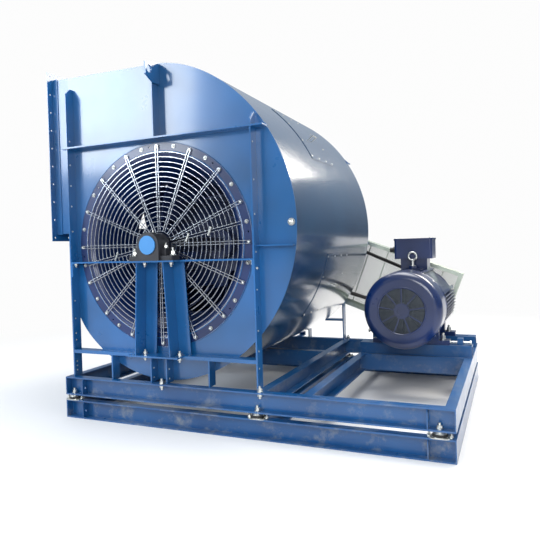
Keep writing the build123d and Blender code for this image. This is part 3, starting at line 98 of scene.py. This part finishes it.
class Look:
    """A material being built: node() adds any node and returns its output as a Value."""

    def __init__(self, name, tree=None):
        self.material = None
        if tree is None:
            self.material = bpy.data.materials.new(name)
            self.material.use_nodes = True
            tree = self.material.node_tree
        self.tree = tree
        self.shader = tree.nodes.get("Principled BSDF")

    def node(self, kind, settings=None, sockets=None, out=0):
        made = self.tree.nodes.new("ShaderNode" + kind)
        for name, value in (settings or {}).items():
            if name == "stops":
                ramp = made.color_ramp
                while len(ramp.elements) < len(value):
                    ramp.elements.new(0.5)
                for stop, (place, colour) in zip(ramp.elements, value):
                    stop.position, stop.color = place, (*colour, 1.0)
            else:
                setattr(made, name, value)
        for name, value in (sockets or {}).items():
            self.feed(made.inputs[name], value)
        return Value(self, made.outputs[out])

    def feed(self, socket, value):
        if isinstance(value, Value):
            self.tree.links.new(value.socket, socket)
        elif hasattr(value, "__len__") and len(value) == 3 and socket.type == "RGBA":
            socket.default_value = (*value, 1.0)
        else:
            socket.default_value = value

    def place(self):
        """Object coordinates, the same on every piece because each object sits at the origin."""
        return self.node("TexCoord", out="Object")

    def axis(self, index, source=None):
        source = source or self.place()
        split = self.node("SeparateXYZ", sockets={0: source})
        return Value(self, split.socket.node.outputs[index])

    def noise(self, scale, detail=3.0, rough=0.55, stretch=None):
        place = self.place()
        if stretch:
            place = self.node("Mapping", sockets={0: place, "Scale": stretch})
        return self.node(
            "TexNoise", sockets={"Vector": place, "Scale": scale, "Detail": detail, "Roughness": rough}
        )

    def ramp(self, value, *stops):
        return self.node("ValToRGB", {"stops": stops}, {0: value})

    def mix(self, share, first, second):
        return self.node("Mix", {"data_type": "RGBA"}, {0: share, 6: first, 7: second}, out=2)

    def bump(self, height, distance, strength=1.0):
        return self.node("Bump", sockets={"Height": height, "Distance": distance, "Strength": strength})

    def set(self, **sockets):
        for name, value in sockets.items():
            self.feed(self.shader.inputs[name.replace("_", " ")], value)
        return self.material


def linear(colour):
    """Written sRGB colour (0 to 255) as the linear values that nodes take."""
    share = np.asarray(colour, float) / 255
    return tuple(float(v) for v in np.where(share <= 0.04045, share / 12.92, ((share + 0.055) / 1.055) ** 2.4))


def gloss_paint(name, colour, shade, roughness=0.3, coat=0.5, dust=0.25, ripple=0.0004):
    """Sprayed enamel: two close blues by slow noise, a little dust low down, orange peel in the gloss."""
    look = Look(name)
    slow = look.noise(1.7, 2.0)
    base = look.mix(look.ramp(slow, (0.35, (0, 0, 0)), (0.7, (1, 1, 1))), linear(shade), linear(colour))
    grime = look.ramp(look.noise(9.0, 6.0, 0.7), (0.52, (0, 0, 0)), (0.72, (1, 1, 1)))
    low = look.ramp(look.axis(2), (0.0, (1, 1, 1)), (0.45, (0, 0, 0)))
    dusty = look.mix(grime * low * dust, base, linear((150, 150, 140)))
    peel = look.noise(160.0, 2.0) * 0.4 + look.noise(3.0, 2.0)
    return look.set(
        Base_Color=dusty,
        Roughness=look.noise(6.0, 4.0) * 0.16 + (roughness - 0.08),
        Coat_Weight=coat,
        Coat_Roughness=0.12,
        Normal=look.bump(peel, ripple, 0.6),
    )


def bare_metal(name, colour, roughness, grain=(1.0, 1.0, 1.0), metallic=1.0):
    """Plated or machined metal: fine grain in roughness and height, with faint stains."""
    look = Look(name)
    stain = look.ramp(look.noise(14.0, 5.0, 0.65), (0.4, (0, 0, 0)), (0.75, (1, 1, 1)))
    dark = tuple(v * 0.62 for v in linear(colour))
    fine = look.noise(120.0, 3.0, stretch=grain)
    return look.set(
        Base_Color=look.mix(stain * 0.55, linear(colour), dark),
        Roughness=fine * 0.2 + (roughness - 0.1),
        Metallic=metallic,
        Normal=look.bump(fine, 0.0002, 0.4),
    )


def dull_black(name, colour, roughness, grit, depth):
    """Rubber or cast iron: near-black with a grit of its own in height and colour."""
    look = Look(name)
    speck = look.noise(grit, 6.0, 0.7)
    return look.set(
        Base_Color=look.mix(speck, linear(colour), tuple(v * 2.2 for v in linear(colour))),
        Roughness=speck * 0.2 + (roughness - 0.1),
        Normal=look.bump(speck, depth, 0.7),
    )


def wire_mesh(name, colour, pitch, thickness, axes):
    """A woven screen on a thin sheet: opaque where either wire passes, by fractions of two coordinates."""
    look = Look(name)
    shares = []
    for index, slope in axes:
        along = look.axis(index) + look.axis(2) * slope if slope else look.axis(index)
        cell = along.maths("FRACT", along * (1 / pitch) + 1000.0)
        shares.append(cell < thickness / pitch)
    solid = shares[0].maths("MAXIMUM", shares[0], shares[1])
    return look.set(
        Base_Color=look.mix(look.noise(30.0), linear(colour), tuple(v * 0.7 for v in linear(colour))),
        Roughness=0.4,
        Metallic=0.8,
        Alpha=solid,
    )


# Surfaces


def faces_of_grid(rows, columns, wrap_rows, wrap_columns):
    """Corner indices of a grid's quads; a wrapped side joins its last line to its first."""
    i = np.arange(rows if wrap_rows else rows - 1)
    j = np.arange(columns if wrap_columns else columns - 1)
    i, j = (a.ravel() for a in np.meshgrid(i, j, indexing="ij"))
    up, on = (i + 1) % rows, (j + 1) % columns
    return np.stack([i * columns + j, i * columns + on, up * columns + on, up * columns + j], 1)


def lathe(profile, centre, axis, sides=24):
    """P(s, a) = centre + h(s) axis + r(s) (cos a U + sin a V), for rows (r, h) of the profile."""
    axis = np.asarray(axis, float)
    side = np.cross(axis, (0.0, 0.0, 1.0) if abs(axis[2]) < 0.9 else (1.0, 0.0, 0.0))
    side /= np.linalg.norm(side)
    other = np.cross(axis, side)
    r, h = np.asarray(profile, float).T[:, :, None]
    a = np.linspace(0, 2 * np.pi, sides, endpoint=False)[None, :]
    ring = np.cos(a)[..., None] * side + np.sin(a)[..., None] * other
    grid = np.asarray(centre, float) + h[..., None] * axis + r[..., None] * ring
    return grid, False, True


def tube(path, radius, sides=6, closed=False, across=(0.0, 1.0, 0.0)):
    """P(s, a) = path(s) + radius (cos a N + sin a B), with N across the path and B square to both."""
    path = np.asarray(path, float)
    if closed:
        ahead, behind = np.roll(path, -1, 0), np.roll(path, 1, 0)
    else:
        ahead, behind = np.vstack([path[1:], path[-1:]]), np.vstack([path[:1], path[:-1]])
    along = ahead - behind
    along /= np.linalg.norm(along, axis=1)[:, None]
    first = np.cross(np.asarray(across, float), along)
    first /= np.linalg.norm(first, axis=1)[:, None]
    second = np.cross(along, first)
    if not closed:
        path = np.vstack([path[:1], path, path[-1:]])
        first, second = (np.vstack([v[:1], v, v[-1:]]) for v in (first, second))
    r = np.full(len(path), radius)
    if not closed:
        r[[0, -1]] = 0.0
    a = np.linspace(0, 2 * np.pi, sides, endpoint=False)
    ring = np.cos(a)[None, :, None] * first[:, None] + np.sin(a)[None, :, None] * second[:, None]
    return path[:, None] + r[:, None, None] * ring, closed, True


def slab(corners, thickness, direction):
    """A flat plate: its outline carried by thickness along direction, closed at both ends."""
    corners = np.asarray(corners, float)
    middle = np.broadcast_to(corners.mean(0), corners.shape)
    step = np.asarray(direction, float) * thickness
    return np.stack([middle, corners, corners + step, middle + step]), False, True


def make(name, parts, material, body=BODY, smooth=True, bevel=0.0):
    """Joins the grids into one mesh, closes its poles and lets it ride on a CAD body."""
    points, faces, start = [], [], 0
    for grid, wrap_rows, wrap_columns in parts:
        rows, columns = grid.shape[:2]
        points.append(grid.reshape(-1, 3))
        faces.append(faces_of_grid(rows, columns, wrap_rows, wrap_columns) + start)
        start += rows * columns
    mesh = bpy.data.meshes.new(name)
    mesh.from_pydata(np.vstack(points).tolist(), [], np.vstack(faces).tolist())
    work = bmesh.new()
    work.from_mesh(mesh)
    bmesh.ops.remove_doubles(work, verts=work.verts, dist=1e-6)
    bmesh.ops.dissolve_degenerate(work, edges=work.edges, dist=1e-7)
    bmesh.ops.recalc_face_normals(work, faces=work.faces)
    work.to_mesh(mesh)
    work.free()
    mesh.materials.append(material)
    piece = bpy.data.objects.new(name, mesh)
    bpy.context.scene.collection.objects.link(piece)
    if smooth:
        mesh.polygons.foreach_set("use_smooth", np.ones(len(mesh.polygons), bool))
        mesh.set_sharp_from_angle(angle=math.radians(38))
    if bevel:
        edge = piece.modifiers.new("Soft edges", "BEVEL")
        edge.width, edge.segments, edge.limit_method = bevel, 2, "ANGLE"
    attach(piece, body)
    return piece


def ring_path(radius, y, first=0.0, last=360.0, count=97):
    """Circle about the fan's shaft at y: (r cos a, y, r sin a), with a from first to last degrees."""
    a = np.radians(np.linspace(first, last, count))
    return np.stack([FAN.x + radius * np.cos(a), np.full(count, y), FAN.z + radius * np.sin(a)], 1)


def dome(centre, axis, radius, height):
    """A round bolt head on its washer: a lathe with a quarter-round crown."""
    a = np.linspace(0, np.pi / 2, 5)
    crown = np.stack([radius * np.cos(a), 0.3 * height + 0.7 * height * np.sin(a)], 1)
    profile = np.vstack([[(0, 0), (1.35 * radius, 0), (1.35 * radius, 0.3 * height)], crown])
    return lathe(profile, centre, axis, 12)


def hexagon(centre, axis, radius, height):
    """A bolt head or nut: six sides with a chamfered top."""
    profile = [(0, 0), (radius, 0), (radius, 0.85 * height), (0.85 * radius, height), (0, height)]
    return lathe(profile, centre, axis, 6)


def stud(centre, axis, radius, height):
    """A bolt that shows its washer, nut and thread end."""
    c, n = np.asarray(centre, float), np.asarray(axis, float)
    return [
        lathe([(0, 0), (1.9 * radius, 0), (1.9 * radius, 0.16 * height), (0, 0.16 * height)], c, n, 16),
        hexagon(c + n * 0.16 * height, n, 1.6 * radius, 0.44 * height),
        lathe([(0, 0), (0.85 * radius, 0), (0.85 * radius, 0.36 * height), (0.5 * radius, 0.4 * height),
               (0, 0.4 * height)], c + n * 0.6 * height, n, 10),
    ]


def both_sides(parts_for):
    """The parts for the front, and for the rear, whose places are mirrored in Y."""
    return [part for side in (-1, 1) for part in parts_for(side)]


class FanSettings(bpy.types.PropertyGroup):
    wire_radius: bpy.props.FloatProperty(
        name="Guard wire", description="Radius of the inlet guards' wire", default=0.0029, unit="LENGTH"
    )
    wire_rings: bpy.props.IntProperty(
        name="Guard rings", description="Number of rings in each inlet guard", default=17
    )
    paint: bpy.props.FloatVectorProperty(
        name="Paint", description="Written colour of the housing and base, 0 to 255",
        default=(20, 92, 152), size=3, min=0, max=255,
    )
    motor_paint: bpy.props.FloatVectorProperty(
        name="Motor paint", description="Written colour of the motor, 0 to 255",
        default=(10, 44, 104), size=3, min=0, max=255,
    )
    lamp_level: bpy.props.FloatProperty(
        name="Lamp level", description="Strength of the studio's lamps", default=1.0
    )
    floor_shade: bpy.props.FloatProperty(
        name="Floor", description="Brightness of the floor and backdrop", default=0.98, subtype="FACTOR"
    )


looks = {}


class FAN_OT_finishes(bpy.types.Operator):
    """Mixes the finishes and gives each CAD piece its own"""

    bl_idname = "fan.finishes"
    bl_label = "Finishes"

    def execute(self, context):
        blue = tuple(context.scene.fan.paint)
        navy = tuple(context.scene.fan.motor_paint)
        looks.update(
            paint=gloss_paint("housing_paint", blue, tuple(v * 0.82 for v in blue), 0.3, 0.6),
            plate=gloss_paint("side_plate_paint", blue, tuple(v * 0.75 for v in blue), 0.3, 0.8, 0.0),
            # Painted shade: the wrapper, tongue and access doors get a darker copy of the housing blue.
            wrap=gloss_paint("wrapper_paint", (14, 62, 96), (10, 48, 82), 0.2, 1.0, 0.0, 0.0006),
            base=gloss_paint("base_paint", (16, 84, 140), (12, 66, 116), 0.32, 0.5, 0.6),
            # Painted shade: the inlet cones and impeller inside the scroll get a darker copy of the housing blue.
            inner=gloss_paint("inner_painted_shade", (10, 40, 92), (6, 26, 64), 0.35, 0.4, 0.0),
            motor=gloss_paint("motor_paint", navy, tuple(v * 0.7 for v in navy), 0.3, 0.6),
            cap=gloss_paint("cap_paint", (62, 132, 192), (52, 120, 182), 0.45, 0.1, 0.0),
            zinc=bare_metal("zinc_plate", (206, 208, 204), 0.3),
            wire=bare_metal("guard_wire", (204, 208, 214), 0.24, (1, 1, 6)),
            galvanised=bare_metal("galvanised_sheet", (182, 192, 180), 0.42, (0.2, 0.2, 0.2), 0.7),
            steel=bare_metal("machined_steel", (150, 150, 154), 0.35, (1, 8, 1)),
            iron=dull_black("black_casting", (26, 27, 32), 0.5, 220.0, 0.0006),
            rubber=dull_black("rubber", (20, 20, 21), 0.7, 90.0, 0.0004),
            belt=dull_black("belt_rubber", (30, 28, 26), 0.65, 400.0, 0.0003),
            plastic=dull_black("black_plastic", (18, 18, 20), 0.4, 300.0, 0.0002),
        )
        plan = {
            "paint": "outlet_collar outlet_flange front_legs rear_legs top_bars top_stiffeners split_flanges "
                     "bearing_beams shelves pedestals stub_posts",
            "plate": "front_side_plate rear_side_plate",
            # Painted shade: these pieces take the darker copy of the housing blue.
            "wrap": "scroll_wrapper scroll_tongue upper_access_door lower_access_door",
            "base": "lower_rails lower_cross_beams upper_rails upper_cross_beams scroll_support_beam "
                    "motor_support_beams web_gussets slide_rails belt_guard_brackets",
            # Painted shade: the parts inside the scroll take the darker copy of the housing blue.
            "inner": "front_inlet_cone rear_inlet_cone impeller",
            "motor": "motor_frame motor_end_shields motor_fan_cowl terminal_box",
            "cap": "bearing_covers",
            "zinc": "isolator_bolts isolator_housings door_handles door_screws guard_clips inlet_ring_bolts "
                    "frame_bolts bearing_bolts motor_foot_bolts tension_screws motor_eyebolt",
            "wire": "front_guard rear_guard",
            "galvanised": "belt_guard",
            "steel": "fan_shaft roller_bearings bearing_inner_rings motor_shaft",
            "iron": "front_bearing_housing rear_bearing_housing fan_pulley motor_pulley",
            "rubber": "isolator_rubbers",
            "belt": "drive_belts",
            "plastic": "cable_gland motor_cooling_fan",
        }
        for look, nodes in plan.items():
            for node in nodes.split():
                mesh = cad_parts[node].data
                mesh.materials.clear()
                mesh.materials.append(looks[look])
        return {"FINISHED"}


class FAN_OT_inlet_guards(bpy.types.Operator):
    """Makes both inlet guards: rings and doubled spokes, in two halves along a slanted line"""

    bl_idname = "fan.inlet_guards"
    bl_label = "Inlet guards"

    def execute(self, context):
        size = context.scene.fan.wire_radius
        rings = context.scene.fan.wire_rings
        for side, node in ((-1, "front_guard"), (1, "rear_guard")):
            ring_y = side * (0.8625)
            spoke_y = side * (0.8685)
            parts = []
            for step in range(rings):
                radius = RING * (0.94 - 0.8 * step / (rings - 1))
                part_angle = math.degrees(math.asin(0.006 / radius))
                for start in (11.25, 191.25):
                    path = ring_path(radius, ring_y, start + part_angle, start + 180 - part_angle, 49)
                    parts.append(tube(path, size))
            for index in range(16):
                turn = math.radians(90 + 22.5 * index)
                out = np.array((math.cos(turn), 0.0, math.sin(turn)))
                across = np.array((-out[2], 0.0, out[0]))
                centre = np.array((FAN.x, spoke_y, FAN.z))
                a = np.linspace(-np.pi / 2, np.pi / 2, 9)[:, None]
                eye = centre + out * RING + 0.0085 * (np.cos(a) * out + np.sin(a) * across)
                inner = centre + out * RING * 0.14
                path = np.vstack([inner - across * 0.0075, eye, inner + across * 0.0075])
                parts.append(tube(path, size))
            line = math.radians(11.25)
            out = np.array((math.cos(line), 0.0, math.sin(line)))
            across = np.array((-out[2], 0.0, out[0]))
            centre = np.array((FAN.x, spoke_y, FAN.z))
            for end in (-1, 1):
                for offset in (-0.008, 0.008):
                    ends = [centre + out * end * RING * share + across * offset for share in (0.16, 0.95)]
                    parts.append(tube(ends, size))
            guard = make(node + "_wires", parts, looks["wire"])
            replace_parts(guard, node)
        return {"FINISHED"}


class FAN_OT_ring_bolts(bpy.types.Operator):
    """Makes the domed bolts round both inlet rings"""

    bl_idname = "fan.ring_bolts"
    bl_label = "Ring bolts"

    def execute(self, context):
        def heads(side):
            spots = ring_path(RING, side * 0.8592, 90, 450, 33)[:-1]
            return [dome(spot, (0, side, 0), 0.0092, 0.0125) for spot in spots]

        bolts = make("ring_bolt_heads", both_sides(heads), looks["zinc"])
        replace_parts(bolts, "inlet_ring_bolts")
        return {"FINISHED"}


class FAN_OT_guard_clips(bpy.types.Operator):
    """Makes the clamps that hold the guards' halves together"""

    bl_idname = "fan.guard_clips"
    bl_label = "Guard clamps"

    def execute(self, context):
        def clamps(side):
            line = math.radians(11.25)
            out = np.array((math.cos(line), 0.0, math.sin(line)))
            lean = np.array((math.cos(line + 1.0), 0.0, math.sin(line + 1.0)))
            grids = []
            for reach in (-0.55, 0.34, 0.6):
                spot = np.array((FAN.x, side * 0.8735, FAN.z)) + out * reach * RING
                for half in (-1, 1):
                    grids.append(lathe(
                        [(0, 0), (0.0058, 0), (0.0058, 0.02), (0.0078, 0.021), (0.0078, 0.027), (0, 0.028)],
                        spot, lean * half, 12,
                    ))
                grids.append(lathe([(0, -0.007), (0.0074, -0.007), (0.0074, 0.007), (0, 0.007)], spot, lean, 12))
            return grids

        clamps = make("guard_clamps", both_sides(clamps), looks["zinc"])
        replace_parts(clamps, "guard_clips")
        return {"FINISHED"}


class FAN_OT_inlet_lips(bpy.types.Operator):
    """Rolls the bright edges of the inlet cones and the seam beads of the rings"""

    bl_idname = "fan.inlet_lips"
    bl_label = "Inlet lips"

    def execute(self, context):
        def lips(side):
            grids = []
            for radius, wire in ((0.594, 0.0035), (0.6505, 0.0016)):
                path = ring_path(radius, side * (0.8595), 0, 360, 145)[:-1]
                grids.append(tube(path, wire, 8, True))
            return grids

        make("inlet_lips", both_sides(lips), looks["paint"])
        return {"FINISHED"}


class FAN_OT_bearing_fittings(bpy.types.Operator):
    """Makes the plummer blocks' studs, cap bolts and grease nipples"""

    bl_idname = "fan.bearing_fittings"
    bl_label = "Bearing fittings"

    def execute(self, context):
        def fittings(side):
            y, grids = side * 0.935, []
            for x in (-0.1425, 0.1425):
                grids += stud((FAN.x + x, y, 1.073), (0, 0, 1), 0.011, 0.05)
            for x in (-0.093, 0.093):
                grids += stud((FAN.x + x, y, 1.118), (0, 0, 1), 0.008, 0.034)
            grids.append(lathe(
                [(0, 0), (0.005, 0), (0.005, 0.008), (0.003, 0.012), (0.0035, 0.015), (0, 0.016)],
                (FAN.x, y, 1.2188), (0, 0, 1), 10,
            ))
            return grids

        def ears(side):
            grids = []
            for half in (-1, 1):
                for low, high in ((1.073, 1.118), ):
                    x = FAN.x + half * 0.093
                    box = [(x - 0.016, side * 0.935 - 0.03, low), (x + 0.016, side * 0.935 - 0.03, low),
                           (x + 0.016, side * 0.935 + 0.03, low), (x - 0.016, side * 0.935 + 0.03, low)]
                    grids.append(slab(box, high - low, (0, 0, 1)))
            return grids

        studs = make("bearing_studs", both_sides(fittings), looks["zinc"])
        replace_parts(studs, "bearing_bolts")
        make("bearing_ears", both_sides(ears), looks["iron"], smooth=False, bevel=0.004)
        return {"FINISHED"}


class FAN_OT_frame_hardware(bpy.types.Operator):
    """Makes the small bolts of the legs, posts, brackets and base"""

    bl_idname = "fan.frame_hardware"
    bl_label = "Frame hardware"

    def execute(self, context):
        def hardware(side):
            grids = []
            left, right = FAN.x - 0.684, FAN.x + 0.684
            for z in (1.86, 1.7, 1.56, 1.42, 1.25, 0.78, 0.66, 0.56, 0.515, 0.37, 0.34, 0.31):
                grids.append(dome((left + 0.005, side * 0.902, z), (1, 0, 0), 0.0045, 0.004))
            for z in (1.72, 1.5, 1.3, 1.08, 0.86, 0.62, 0.5, 0.4):
                grids.append(dome((right + 0.005, side * 0.902, z), (1, 0, 0), 0.0042, 0.004))
            for x, z in ((left + 0.005, 0.985), (right + 0.005, 0.985)):
                grids.append(dome((x, side * 0.894, z), (1, 0, 0), 0.008, 0.009))
            for x in (left + 0.024, right - 0.024):
                grids += stud((x, side * 0.9, 1.033), (0, 0, -1), 0.008, 0.026)
            for half in (-1, 1):
                x = FAN.x + half * 0.128 + 0.035
                grids += stud((x, side * 0.93, 0.452), (0, 0, 1), 0.009, 0.032)
                grids += stud((x, side * 0.93, 0.442), (0, 0, -1), 0.009, 0.03)
                grids += stud((FAN.x + half * 0.098 + 0.035, side * 0.945, 1.033), (0, 0, -1), 0.009, 0.03)
            for x in (-0.058, 0.058):
                for z in (0.3, 0.36):
                    grids.append(dome((FAN.x + x + 0.005, side * 0.9, z), (1, 0, 0), 0.004, 0.004))
            for x in (right + 0.02, FAN.x + 0.03):
                grids += stud((x, side * 0.938, 0.273), (0, 0, 1), 0.009, 0.034)
                grids += stud((x, side * 0.938, 0.264), (0, 0, -1), 0.009, 0.03)
            grids.append(dome((FAN.x + 0.898, side * 0.855, 1.247), (0, side, 0), 0.0165, 0.012))
            return grids

        bolts = make("frame_studs", both_sides(hardware), looks["zinc"])
        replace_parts(bolts, "frame_bolts")
        return {"FINISHED"}


class FAN_OT_isolators(bpy.types.Operator):
    """Makes the vibration isolators' domes and rubber rings"""

    bl_idname = "fan.isolators"
    bl_label = "Isolators"

    def execute(self, context):
        domes, rings, nuts = [], [], []
        for x in (-1.205, 0.158, 1.173):
            for side in (-1, 1):
                y = side * 0.93
                domes.append(lathe(
                    [(0, 0.1245), (0.0405, 0.1245), (0.0405, 0.127), (0, 0.127)], (x, y, 0.0), (0, 0, 1), 32
                ))
                domes.append(lathe(
                    [(0, 0.139), (0.033, 0.139), (0.034, 0.1425), (0.03, 0.148), (0.02, 0.152), (0, 0.153)],
                    (x, y, 0.0), (0, 0, 1), 32,
                ))
                rings.append(lathe(
                    [(0, 0.127), (0.0395, 0.127), (0.041, 0.131), (0.0385, 0.136), (0.034, 0.1395), (0, 0.1395)],
                    (x, y, 0.0), (0, 0, 1), 32,
                ))
                for ear in (-0.055, 0.055):
                    nuts += stud((x + ear, y, 0.124), (0, 0, 1), 0.006, 0.018)
                nuts += stud((x, y + 0.004 * side, 0.162), (0, 0, 1), 0.009, 0.034)
        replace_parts(make("isolator_domes", domes, looks["zinc"]), "isolator_rubbers")
        make("isolator_rings", rings, looks["rubber"])
        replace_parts(make("isolator_nuts", nuts, looks["zinc"]), "isolator_bolts")
        return {"FINISHED"}


class FAN_OT_housing_details(bpy.types.Operator):
    """Adds the lug on the duct"""

    bl_idname = "fan.housing_details"
    bl_label = "Housing details"

    def execute(self, context):
        def weld(side):
            """Radii of the scroll's outline where the side plate meets the wrapper."""
            radii = (0.72, 0.818, 0.85, 0.862, 0.868, 0.888, 0.926, 0.984, 1.07, 1.15)
            return radii

        lug = [(-0.972, -0.006, 2.302), (-0.897, -0.006, 2.302), (-0.897, -0.006, 2.317),
               (-0.912, -0.006, 2.331), (-0.957, -0.006, 2.331), (-0.972, -0.006, 2.317)]
        make("duct_lug", [slab(lug, 0.012, (0, 1, 0))], looks["paint"], smooth=False)
        return {"FINISHED"}


class FAN_OT_guard_screen(bpy.types.Operator):
    """Stretches the see-through screen over the belt guard's far panel"""

    bl_idname = "fan.guard_screen"
    bl_label = "Belt guard screen"

    def execute(self, context):
        along = np.array((0.9362, 0.0, -0.3515))
        up = np.array((0.3515, 0.0, 0.9362))
        centre = np.array((FAN.x, 1.1625, FAN.z))
        spots = [(-0.31, -0.28), (1.655, -0.28), (1.655, 0.28), (-0.31, 0.28)]
        corners = [centre + along * s + up * t for s, t in spots]
        mesh = wire_mesh("guard_screen", (170, 182, 172), 0.014, 0.0042, ((0, 1.0), (0, -1.0)))
        make("belt_guard_screen", [slab(corners, 0.0008, (0, 1, 0))], mesh, smooth=False)
        return {"FINISHED"}


class FAN_OT_motor_details(bpy.types.Operator):
    """Adds the cowl's screen, hub ring and rim, a seam ring round the frame, and the motor's screws and foot studs"""

    bl_idname = "fan.motor_details"
    bl_label = "Motor details"

    def execute(self, context):
        x, z = MOTOR.x, MOTOR.z
        screen = wire_mesh("cowl_screen", (96, 104, 112), 0.0085, 0.0022, ((0, 0.0), (2, 0.0)))
        disc = lathe([(0.05, 0), (0.158, 0), (0.158, 0.0008), (0.05, 0.0008), (0.05, 0)], (x, 0.0318, z), (0, 1, 0), 64)
        make("cowl_screen_disc", [disc], screen, "motor", smooth=False)
        rings = [
            lathe([(0.05, 0), (0.052, -0.004), (0.03, -0.004), (0.03, 0), (0.05, 0)], (x, 0.027, z), (0, 1, 0), 48),
            lathe([(0.157, 0), (0.160, -0.003), (0.166, -0.003), (0.168, 0), (0.157, 0)], (x, 0.027, z), (0, 1, 0), 96),
            lathe([(0.2722, 0), (0.2735, 0.002), (0.2735, 0.012), (0.2722, 0.014)], (x, 0.274, z), (0, 1, 0), 96),
        ]
        make("cowl_rings", rings, looks["motor"], "motor")
        screws = []
        for a in (45, 135, 225, 315):
            n = (math.cos(math.radians(a)), 0, math.sin(math.radians(a)))
            screws.append(dome((x + 0.272 * n[0], 0.225, z + 0.272 * n[2]), n, 0.007, 0.006))
        for dx in (-0.132, 0.132):
            for dy in (-0.102, 0.102):
                screws.append(dome((x + dx, 0.685 + dy, 1.138), (0, 0, 1), 0.007, 0.006))
        for dx in (-0.2285, 0.2285):
            for y in (0.397, 0.816):
                screws += stud((x + dx, y, 0.387), (0, 0, 1), 0.012, 0.05)
        heads = make("motor_screws", screws, looks["zinc"], "motor")
        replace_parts(heads, "motor_foot_bolts")
        return {"FINISHED"}


class FAN_OT_stage(bpy.types.Operator):
    """Sets the pale floor, the soft lamps, the surroundings and the camera"""

    bl_idname = "fan.stage"
    bl_label = "Stage"

    def execute(self, context):
        level = context.scene.fan.lamp_level
        shade = context.scene.fan.floor_shade
        floor = bpy.data.meshes.new("floor")
        floor.from_pydata([(-40, -40, 0), (40, -40, 0), (40, 40, 0), (-40, 40, 0)], [], [(0, 1, 2, 3)])
        piece = bpy.data.objects.new("floor", floor)
        context.scene.collection.objects.link(piece)
        look = Look("studio_floor")
        look.set(Base_Color=(0.8, 0.8, 0.8), Roughness=0.9)
        far = look.node("VectorMath", {"operation": "LENGTH"}, {0: look.place()}, out="Value")
        fade = look.node("MapRange", {"interpolation_type": "SMOOTHSTEP"}, {0: far, 1: 2.2, 2: 5.5})
        glow = look.node("Emission", sockets={"Color": (shade, shade, shade), "Strength": 1.0})
        mixed = look.node("MixShader", sockets={0: fade, 1: Value(look, look.shader.outputs[0]), 2: glow})
        look.feed(look.tree.nodes["Material Output"].inputs[0], mixed)
        floor.materials.append(look.material)

        world = bpy.data.worlds.new("studio")
        context.scene.world = world
        world.use_nodes = True
        sky = Look("studio", world.node_tree)
        seen = sky.node("LightPath", out="Is Camera Ray")
        way = sky.node("TexCoord", out="Generated")
        height = sky.axis(2, way) * 0.5 + 0.5
        room = sky.ramp(
            height, (0.0, (0.30, 0.30, 0.30)), (0.5, (0.10, 0.12, 0.15)), (0.62, (0.30, 0.36, 0.44)),
            (0.8, (0.62, 0.66, 0.72)), (1.0, (0.9, 0.9, 0.9)),
        )
        colour = sky.mix(seen, room, (shade, shade, shade))
        back = world.node_tree.nodes["Background"]
        sky.feed(back.inputs["Color"], colour)

        lamps = (
            ("left_softbox", (-4.2, -4.6, 3.4), (-0.6, -0.8, 1.5), 3.0, 2.2, 260, (0.86, 0.93, 1.0)),
            ("front_fill", (2.2, -6.0, 2.6), (0.2, -0.5, 0.9), 3.0, 2.0, 170, (1.0, 1.0, 1.0)),
            ("back_strip", (3.0, 4.5, 4.2), (0.3, 0.2, 1.6), 3.2, 1.6, 260, (1.0, 0.93, 0.82)),
            ("top_box", (0.6, 0.4, 5.4), (0.2, 0.0, 1.0), 3.6, 3.0, 230, (1.0, 1.0, 1.0)),
        )
        for name, spot, target, wide, tall, power, colour in lamps:
            lamp = bpy.data.lights.new(name, "AREA")
            lamp.shape, lamp.size, lamp.size_y = "RECTANGLE", wide, tall
            lamp.energy, lamp.color = power * level, colour
            holder = bpy.data.objects.new(name, lamp)
            holder.location = spot
            holder.rotation_euler = (Vector(target) - Vector(spot)).to_track_quat("-Z", "Y").to_euler()
            context.scene.collection.objects.link(holder)

        yaw, pitch, roll = (math.radians(a) for a in (23.515, 0.862, -1.75))
        forward = Vector((-math.sin(yaw) * math.cos(pitch), math.cos(yaw) * math.cos(pitch), -math.sin(pitch)))
        level_right = Vector((math.cos(yaw), math.sin(yaw), 0))
        level_up = level_right.cross(forward)
        right = math.cos(roll) * level_right + math.sin(roll) * level_up
        up = -math.sin(roll) * level_right + math.cos(roll) * level_up
        camera = bpy.data.cameras.new("camera")
        camera.lens, camera.sensor_width = 36.798, 36.0
        camera.shift_x, camera.shift_y = -0.0035, -0.0283
        holder = bpy.data.objects.new("camera", camera)
        holder.matrix_world = Matrix.Translation((1.5266, -3.8017, 1.1088)) @ Matrix(
            (right, up, -forward)
        ).transposed().to_4x4()
        context.scene.collection.objects.link(holder)
        context.scene.camera = holder
        context.scene.view_settings.view_transform = "Standard"
        return {"FINISHED"}


PIECES = (
    FAN_OT_finishes, FAN_OT_inlet_guards, FAN_OT_ring_bolts, FAN_OT_guard_clips, FAN_OT_inlet_lips,
    FAN_OT_bearing_fittings, FAN_OT_frame_hardware, FAN_OT_isolators, FAN_OT_housing_details,
    FAN_OT_guard_screen, FAN_OT_motor_details, FAN_OT_stage,
)


class FAN_PT_panel(bpy.types.Panel):
    """Lists the fan's sizes, colours and pieces in the sidebar"""

    bl_idname = "FAN_PT_panel"
    bl_label = "Centrifugal fan"
    bl_space_type = "VIEW_3D"
    bl_region_type = "UI"
    bl_category = "Fan"

    def draw(self, context):
        for name in FanSettings.__annotations__:
            self.layout.prop(context.scene.fan, name)
        for piece in PIECES:
            self.layout.operator(piece.bl_idname)


def register():
    for cls in (FanSettings, *PIECES, FAN_PT_panel):
        bpy.utils.register_class(cls)
    bpy.types.Scene.fan = bpy.props.PointerProperty(type=FanSettings)


def unregister():
    del bpy.types.Scene.fan
    for cls in reversed((FanSettings, *PIECES, FAN_PT_panel)):
        bpy.utils.unregister_class(cls)


def main():
    register()
    for piece in PIECES:
        getattr(bpy.ops.fan, piece.bl_idname.split(".")[1])()


if __name__ == "__main__":
    main()
